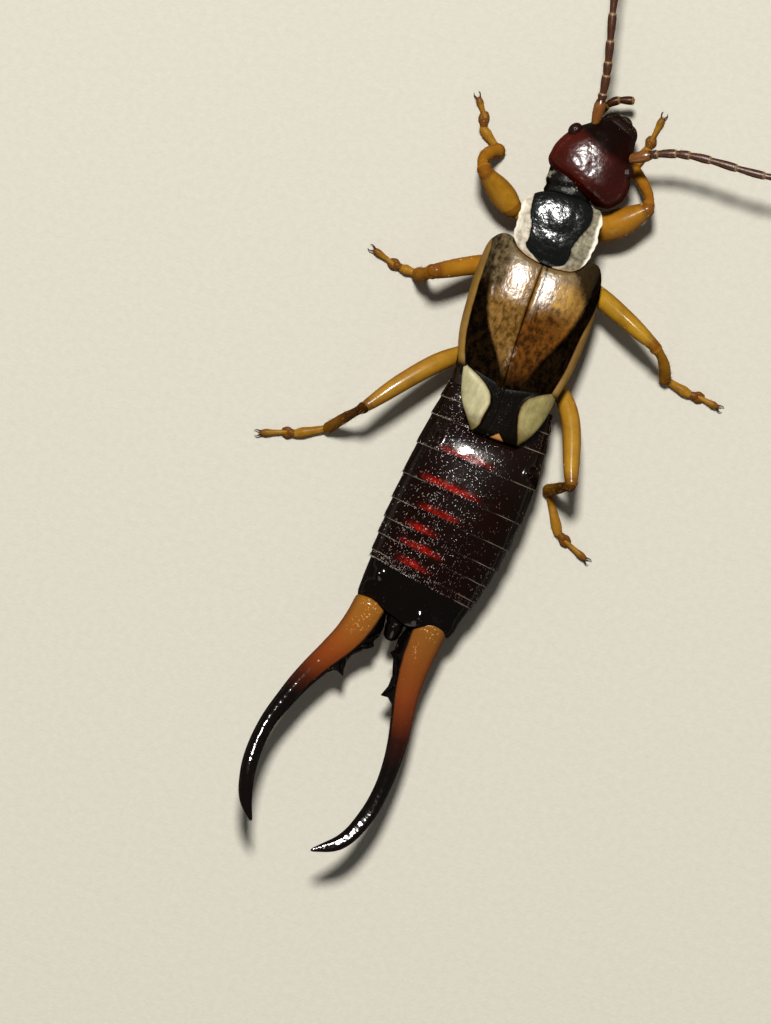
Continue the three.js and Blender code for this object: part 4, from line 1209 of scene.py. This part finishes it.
# The broad last ring, smooth and black, its hind edge hollowed over the root of each branch.
def makeLastRing():
    shape = lastRing
    ahead, share = roundEnds(np.linspace(*shape["span"], 90), 0.02, 0.06, 12)
    right, place, level, across, angle = trunkGrid(ahead, share * line(ahead, *shape["girth"]), abdomen, 200)
    up = np.sin(angle) + 0 * right
    arcs = bumps(right, place, *shape["arcs"])
    place = place + arcs * rise(-place, 2.7, 3.1) * rise(up, -0.1, 0.3)
    level = level + bumps(right, place, *shape["knobs"]) * rise(up, 0, 0.3)

    def plateSwell(t, angle):
        return 1 + 0.06 * np.cos(2 * angle) - 0.12 * bell(t - 0.5, 0.08)

    paint = evenPaint([(1.8, 3), (14, 3)], ("030201", "070302"), (0.13, 0.03, 1), [(0, 0.006)])
    finish = look("last_ring", paint, Specular_IOR_Level=0.4)
    grid = at(right, place, level)
    hairs = [coat(grid, "lastRing")]
    dark = look("dark_hair", evenPaint([(5, 2)], ("1a0f08", "5a3c1c"), (0.35, 0.05, 0), gain=1))
    piece("abdomen_last_ring", "last_segment", [skin(grid)], finish, hairs, dark)
    path = [at(*spot) for spot in shape["tail"]]
    tail = limb(path, *shape["tailHalf"], 50, 60, swell=plateSwell)[1]
    piece("tail_plate", "pygidium", [tail], finish)
    print("abdomen: last ring")


# Forceps

forceps = {
    "left": {
        "arm": [(-1.12, -3.1), (-1.2, -3.5), (-1.36, -4.0), (-1.62, -4.5), (-1.9, -5.0), (-2.14, -5.5),
                (-2.33, -6.0), (-2.55, -6.7), (-2.63, -7.4), (-2.58, -8.1), (-2.38, -8.75), (-2.07, -9.2)],
        "flange": [(-0.69, -3.2), (-0.64, -3.48), (-0.66, -3.75), (-0.76, -3.94), (-0.7, -4.05),
                   (-0.83, -4.16), (-0.92, -4.2), (-1.0, -4.3), (-1.145, -4.43), (-1.22, -4.63),
                   (-1.21, -4.85), (-1.17, -5.02), (-1.34, -4.93), (-1.46, -4.95), (-1.68, -5.16),
                   (-1.87, -5.43), (-2.1, -5.9), (-2.2, -6.3)],
        "lift": [(0, 1.24), (0.42, 1.26), (0.5, 1.31), (0.66, 1.48), (0.8, 1.72), (0.9, 1.78), (1, 1.81)],
        "flat": 0.85,
        "twist": 0.0,
        "blackEdge": 0.76,  # how far out the black of the inner edge begins, in half widths
        "stops": [(0.0, "83541a"), (0.12, "7f4816"), (0.2, "793b12"), (0.28, "6c2f0e"), (0.37, "381405"),
                  (0.46, "090403")],
    },
    "right": {
        "arm": [(0.44, -3.1), (0.42, -3.5), (0.4, -4.0), (0.42, -4.5), (0.48, -5.0), (0.58, -5.5),
                (0.67, -6.0), (0.73, -6.7), (0.71, -7.4), (0.6, -8.05), (0.2, -8.92), (-0.45, -9.38)],
        "flange": [(-0.08, -3.2), (-0.11, -3.35), (-0.2, -3.64), (-0.19, -3.93), (-0.27, -4.05),
                   (-0.14, -4.17), (-0.085, -4.37), (-0.02, -4.56), (-0.025, -4.85), (-0.13, -5.14),
                   (0.06, -5.12), (0.21, -5.25), (0.32, -5.48), (0.42, -6.0), (0.48, -6.3)],
        "lift": [(0, 1.24), (0.3, 1.25), (0.74, 1.36), (0.82, 1.42), (0.96, 1.72), (1, 1.8)],
        "flat": 0.55,  # the power that makes the section squarer towards the tip
        "twist": 0.17,  # and the slope of its top there, down to the inner side
        "blackEdge": 0.8,
        "stops": [(0.0, "774b19"), (0.12, "744015"), (0.28, "6c3111"), (0.37, "501f0b"), (0.44, "260d05"),
                  (0.55, "080403")],
    },
    "wide": [(0, 0.46), (0.12, 0.42), (0.3, 0.31), (0.45, 0.25), (0.6, 0.205), (0.8, 0.195), (0.92, 0.15),
             (1, 0.03)],
    "high": [(0, 0.34), (0.3, 0.27), (0.6, 0.22), (0.85, 0.17), (1, 0.03)],
    "edgeDrop": 0.12,  # how far the toothed edge lies below the middle
}


# Amber at the root, red-brown to black towards the tip, and black along the inner edge.
def paintForceps(shape):
    def paintIt(spot):
        along, out = spot.carried("along"), spot.carried("out")
        cloud, grain, beads = spot.noises((1.8, 3), (18.0, 3), (6.5, 1))
        ramp = spot.node("ValToRGB", {"stops": shape["stops"]}, {"Fac": along + cloud * 0.015}, "Color")
        edge = shape["blackEdge"]
        dark = (out + cloud * 0.06).rise(edge - 0.1, edge + 0.05)
        # golden flecks near the root: hair bases, partly painted glints
        flecks = (spot.noise(15.0, 2) + grain * 0.4).rise(0.1, 0.45) * (cloud + 0.25).rise(-0.1, 0.3)
        flecks = flecks * along.rise(0.19, 0.06) * (1 - dark) * abs(out).rise(0.8, 0.4)
        colour = ramp.under(
            # painted shade: the root darker along both of its sides
            (abs(out).rise(0.6, 1.0) * 0.5 * along.rise(0.5, 0.2), "401806"),
            (dark, "060404"),
            (flecks.rise(0.15, 0.9) * 0.7, "dcb06c"),
        )
        relief = [(cloud, 0.008), (beads, 0.006), (grain * along.rise(0.35, 0.15), 0.001)]
        return colour, 0.11 + grain * 0.03, relief

    return paintIt


# One branch of the forceps: a tapering limb whose inner side is drawn out to a sharp toothed edge.
# The edge's distance from the middle line is read off its outline, and the section there runs
# from the ellipse to the edge as the ninth power of the cosine.
def makeForceps():
    for side, sign in sides:
        shape = forceps[side]
        lifts = line(np.linspace(0, 1, len(shape["arm"])), *shape["lift"])
        path = [at(right, ahead, lift) for (right, ahead), lift in zip(shape["arm"], lifts)]
        t, share = roundEnds(np.linspace(0, 0.985, 420), 0.03, 0.012, 12)
        spots, along, _ = route(path, t)
        inward = unit(np.cross(along, (0, 0, 1)) * sign)
        lift = np.cross(inward, along)
        lift *= np.sign(lift[:, 2:])

        outline = np.array(shape["flange"]).T
        steps = np.linspace(0, len(shape["flange"]) - 1, 900)
        edge = at(*[np.interp(steps, np.arange(len(shape["flange"])), values) for values in outline], 0.0)
        gap = edge[:, None, :2] - spots[None, :, :2]
        nearest = np.argmin((gap**2).sum(-1), axis=1)
        reach = np.einsum("ij,ij->i", edge[:, :2] - spots[nearest, :2], inward[nearest, :2])
        order = np.argsort(t[nearest], kind="stable")
        sharp = np.interp(t, t[nearest][order], reach[order], right=0.0)[:, None]

        inside, share = np.clip(t, 0, 1), share[:, None]
        tipwards = rise(t, 0.55, 0.75)[:, None]
        wide = line(inside, *forceps["wide"])[:, None] * mm * share
        high = line(inside, *forceps["high"])[:, None] * mm * share
        angle = roundTurn(120)
        x, y = np.cos(angle), np.sin(angle)
        extra = np.clip(sharp - wide / np.maximum(share, 0.01), 0, None) * share
        toEdge = np.clip(x, 0, 1) ** 9
        power = 0.85 + (shape["flat"] - 0.85) * tipwards
        across = squared(x, np.minimum(power + 0.15, 1)) * wide + extra * toEdge
        ridge = 1 + 0.05 * bell(y - 1, 0.12) * (1 - rise(t, 0.3, 0.6))[:, None]
        drop = shape["twist"] * tipwards * across + forceps["edgeDrop"] * mm * toEdge * (extra > 0)
        level = squared(y, power) * ridge * high - drop
        grid = spots[:, None] + across[..., None] * inward[:, None] + level[..., None] * lift[:, None]
        out = np.clip(across / np.maximum(wide, 0.01 * mm), -1, 2)
        body = skin(grid, along=inside[:, None], out=out)
        hairs = [coat(grid, "forceps", lambda row, column: row < 0.4)]
        finish = look(f"forceps_{side}", paintForceps(shape), Specular_IOR_Level=0.5)
        piece(f"forceps_branch_{side}", f"forceps_{side}", [body], finish, hairs)
    print("forceps: two branches")


# Legs

# Each leg's four lengths as (right, ahead, up), the foot's last three on the floor, the half
# widths of thigh and shin, and how yellow, glossy and brown it is from 0 to 1.
legs = {
    "fore_left": {
        "coxa": [(-0.32, 7.4, 0.95), (-0.66, 7.26, 0.62)],
        "femur": [(-1.27, 7.5, 0.85), (-1.6, 7.72, 1.0), (-2.16, 8.06, 1.4)],
        "tibia": [(-2.2, 8.1, 1.42), (-2.33, 8.3, 1.15), (-2.28, 8.56, 0.72), (-2.08, 8.74, 0.2)],
        "foot": [(-2.1, 8.78, 0.14), (-2.6, 9.12), (-2.72, 9.48), (-2.96, 9.78)],
        "thigh": [(0, 0.27), (0.15, 0.31), (0.3, 0.32), (0.55, 0.3), (0.85, 0.23), (1, 0.19)],
        "shin": 0.18, "yellow": 0.6, "gloss": 0.12, "brown": 0.15,
    },
    "fore_right": {
        "coxa": [(0.28, 7.45, 0.95), (0.5, 7.5, 0.6)],
        "femur": [(0.66, 7.6, 0.6), (1.3, 7.97, 0.88), (1.94, 8.6, 1.12)],
        "tibia": [(1.95, 8.66, 1.14), (1.9, 8.9, 0.98), (1.7, 9.15, 0.68), (1.31, 9.48, 0.2)],
        "foot": [(1.3, 9.52, 0.14), (1.44, 10.05), (1.47, 10.36), (1.53, 10.88)],
        "thigh": [(0, 0.24), (0.15, 0.34), (0.4, 0.37), (0.65, 0.34), (0.87, 0.25), (1, 0.19)],
        "shin": 0.15, "yellow": 0.35, "gloss": 0.35, "brown": 0.2,
    },
    "mid_left": {
        "coxa": [(-0.45, 5.9, 0.95), (-0.76, 6.12, 0.6)],
        "femur": [(-0.84, 6.16, 0.6), (-1.6, 5.83, 1.0), (-2.47, 5.34, 1.5)],
        "tibia": [(-2.55, 5.3, 1.5), (-2.74, 5.17, 0.9), (-2.86, 5.13, 0.2)],
        "foot": [(-2.88, 5.13, 0.14), (-3.3, 5.13), (-3.63, 5.18), (-4.08, 5.31)],
        "thigh": [(0, 0.18), (0.2, 0.235), (0.6, 0.23), (0.85, 0.215), (1, 0.19)],
        "shin": 0.18, "yellow": 0.3, "gloss": 0.2, "brown": 0.0,
    },
    "mid_right": {
        "coxa": [(0.5, 6.1, 0.95), (0.78, 6.32, 0.6)],
        "femur": [(0.86, 6.35, 0.6), (1.5, 6.18, 0.88), (2.3, 5.88, 1.13), (3.25, 5.48, 1.32)],
        "tibia": [(3.29, 5.45, 1.35), (3.52, 5.3, 1.15), (3.75, 5.02, 0.7), (3.85, 4.8, 0.2)],
        "foot": [(3.88, 4.79, 0.14), (4.53, 4.65), (4.88, 4.66), (5.28, 4.6)],
        "thigh": [(0, 0.17), (0.2, 0.23), (0.6, 0.235), (0.85, 0.195), (1, 0.15)],
        "shin": 0.15, "yellow": 1.0, "gloss": 0.16, "brown": 0.1,
    },
    "hind_left": {
        "coxa": [(-0.55, 3.45, 0.95), (-0.88, 3.74, 0.6)],
        "femur": [(-0.97, 3.83, 0.6), (-1.75, 3.1, 1.12), (-2.3, 2.45, 1.36), (-2.93, 1.6, 1.53)],
        "tibia": [(-2.97, 1.54, 1.54), (-3.35, 1.12, 0.95), (-3.67, 0.73, 0.2)],
        "foot": [(-3.7, 0.7, 0.14), (-4.38, 0.31), (-4.68, 0.24), (-5.18, 0.04)],
        "thigh": [(0, 0.16), (0.25, 0.225), (0.55, 0.23), (0.85, 0.195), (1, 0.15)],
        "shin": 0.14, "yellow": 0.7, "gloss": 1.0, "brown": 1.0,
    },
    "hind_right": {
        "coxa": [(0.7, 3.45, 0.95), (1.04, 3.76, 0.6)],
        "femur": [(1.12, 3.9, 0.6), (1.76, 3.3, 1.0), (2.52, 1.53, 1.72)],
        "tibia": [(2.53, 1.46, 1.73), (2.3, 1.3, 1.0), (2.07, 1.16, 0.2)],
        "foot": [(2.09, 1.12, 0.14), (2.66, 0.24), (2.97, 0.07), (3.48, -0.13)],
        "thigh": [(0, 0.16), (0.25, 0.215), (0.55, 0.23), (0.85, 0.2), (1, 0.16)],
        "shin": 0.15, "yellow": 0.8, "gloss": 0.5, "brown": 0.85,
    },
}
legShape = {
    "footHeight": 0.1,
    "hip": [(0, 0.3), (0.6, 0.27), (1, 0.17)],
    "hipRing": 0.16,
    "shin": [(0, 0.9), (0.05, 1.08), (0.13, 0.88), (0.5, 0.95), (0.85, 1.0), (1, 1.05)],
    "spurs": (0.97, 0.2, 0.012, (0.8, 2.3)),  # share of the shin, length, width and turns
    "first": [(0, 0.085), (0.5, 0.105), (0.85, 0.13), (1, 0.11)],
    "heart": ([(0, 0.07), (1, 0.11)], [(0, 0.075), (1, 0.085)]),
    "third": [(0, 0.055), (0.6, 0.07), (0.92, 0.09), (1, 0.08)],
    "lobe": [(0, 0.05), (0.7, 0.08), (1, 0.065)],
    "overlap": (0.08, 0.06),  # how far the last joint and the lobes start behind their places
    "lobeSpread": 0.055,
    "lobeDrop": 0.02,
    "lobeBend": 0.04,
    "clawHalf": [(0, 0.032), (1, 0.0048)],
    "claw": [(-0.04, 0.0, 0.0), (0.08, 0.05, 0.03), (0.17, 0.08, -0.01), (0.22, 0.06, -0.06)],
}


def paintLeg(spot):
    brown, yellow, along, turn = (spot.carried(name) for name in ("brown", "yellow", "along", "turn"))
    cloud, streak, grain = spot.noises((1.6, 4), (6.0, 3), (28.0, 2))
    deep, light = yellow.mix("77450d", "785610"), yellow.mix("9e671a", "ad8526")
    # painted shade: each limb darker along its two flanks, where it turns away
    flank = abs(turn.math("COSINE", turn * (2 * math.pi))).rise(0.55, 1.0)
    knee = (along - 0.9).rise(0.0, 0.07) * 0.35 + (along - 0.965).rise(0.0, 0.02) * 0.35
    knee = knee + along.rise(0.05, 0.02) * 0.6
    upsides = turn.math("COSINE", turn * (4 * math.pi)).rise(-0.1, 0.4)
    colour = (cloud * 0.6 + streak * 0.3 + 0.5).mix(deep, light).under(
        (flank * 0.55, "6b3c0a"),
        (knee * (1 - brown), "5a2f0c"),
        (brown * (0.5 + cloud * 0.25 + along.rise(0.65, 0.35) * 0.45), "2e1605"),
        (spot.spots(5.0).rise(0.2, 0.08) * upsides * (1 - brown) * 0.6, "d6b984"),
    )
    return colour, 0.34 + grain * 0.06, [(cloud, 0.008), (grain, 0.002)], 1 - spot.carried("gloss")


def paintFoot(spot):
    kind = spot.carried("kind")
    cloud = spot.noise(4.0, 3)
    colour = (cloud * 0.8 + 0.5).mix("6b440c", "9a7020").under(
        (abs(kind - 1).rise(0.5, 0.0) * 0.8, "50290b"),
        (kind.rise(1.5, 1.9) * spot.carried("along").rise(0.6, 0.95) * 0.6, "4a2710"),
        (kind.rise(2.2, 2.8), "3a1c0c"),
    )
    return colour, 0.34 + cloud * 0.04, [(spot.noise(26.0, 2), 0.002)]


# Each leg: hip, a small ring, a swollen thigh with faint keels, a slender shin and a foot of three
# joints, the second heart-shaped, that ends in two claws.
def makeLegs():
    shape = legShape
    fleshy = {"Subsurface_Weight": 0.15, "Subsurface_Radius": (0.5, 0.25, 0.08), "Subsurface_Scale": 0.0004}
    legLook = look("leg", paintLeg, Coat_Weight=0.9, Coat_Roughness=0.12, Specular_IOR_Level=0.35, **fleshy)
    shinLook = look("shin", paintLeg, Specular_IOR_Level=0.2, **fleshy)
    footLook = look("foot", paintFoot, Specular_IOR_Level=0.08)

    def keels(t, angle):
        return 1 + 0.025 * np.cos(4 * angle) * rise(t, 0.05, 0.3)

    for name, leg in legs.items():
        hip, thigh, shin = ([at(*spot) for spot in leg[part]] for part in ("coxa", "femur", "tibia"))
        tone = {"brown": 0, "yellow": leg["yellow"], "gloss": leg["gloss"]}
        coxa = limb(hip, shape["hip"], None, 26, 30, **tone)[1]
        ring = limb([hip[-1], thigh[0]], shape["hipRing"], None, 8, 24, **tone)[1]
        piece(f"leg_{name}_hip", f"leg_{name}_coxa", [coxa, ring], legLook)

        grid, part = limb(thigh, leg["thigh"], None, 60, 36, swell=keels, flat=0.92, **tone)
        hairs = [coat(grid, "thigh")]
        piece(f"leg_{name}_thigh", f"leg_{name}_femur", [part], legLook, hairs)

        tone = {"brown": leg["brown"], "yellow": leg["yellow"] * 0.35, "gloss": leg["gloss"] * 0.3}
        half = [(t, size * leg["shin"]) for t, size in shape["shin"]]
        grid, part = limb(shin, half, None, 44, 28, **tone)
        hairs = [coat(grid, "shin")]
        share, length, width, turns = shape["spurs"]
        end, along, _ = route(shin, np.array([share]))
        for turn in turns:
            direction = along + np.cross(along, (0, 0, 1)) * math.cos(turn) * 0.9
            hairs.append(bristles(end, direction, np.array([length * mm]), width * mm))
        piece(f"leg_{name}_shin", f"leg_{name}_tibia", [part], shinLook, hairs)

        start, *rest = leg["foot"]
        start = at(*start)
        first, second, third = (at(*spot, shape["footHeight"]) for spot in rest)
        forward = unit(third - second)
        sideways = np.cross(forward, (0, 0, 1))
        middle = (first + second) / 2
        lastStart, lobeStart = (
            spot - forward * back * mm for spot, back in zip((second, middle), shape["overlap"])
        )
        joints = [  # path, half width, half height, the flatness and the kind of each
            ([start, start * 0.4 + first * 0.6, first], shape["first"], None, 0.85, 0),
            ([first, middle], *shape["heart"], 1, 1),
            ([lastStart, (second + third) / 2, third], shape["third"], None, 0.9, 2),
        ]
        for sign in (-1, 1):
            drop = np.array([0, 0, shape["lobeDrop"] * mm])
            tip = second + sideways * sign * shape["lobeSpread"] * mm - drop
            bend = (middle + tip) / 2 + sideways * sign * shape["lobeBend"] * mm
            joints.append(([lobeStart, bend, tip], shape["lobe"], None, 0.7, 1))
            steps = [forward * on + sideways * sign * out + (0, 0, up) for on, out, up in shape["claw"]]
            joints.append(([third + step * mm for step in steps], shape["clawHalf"], None, 1, 3))
        made = [limb(*joint[:3], 18, 18, flat=joint[3], kind=joint[4]) for joint in joints]
        hairs = [coat(grid, "foot") for grid, _ in made[:3]]
        piece(f"leg_{name}_foot", f"leg_{name}_tarsus", [part for _, part in made], footLook, hairs)
    print("legs: six")


makeStudio()
makeHead()
makeEyes()
makeMouth()
makeFeelers()
makeThorax()
makeShield()
makeWingCases()
makeWingTips()
makeAbdomen()
makeLastRing()
makeForceps()
makeLegs()
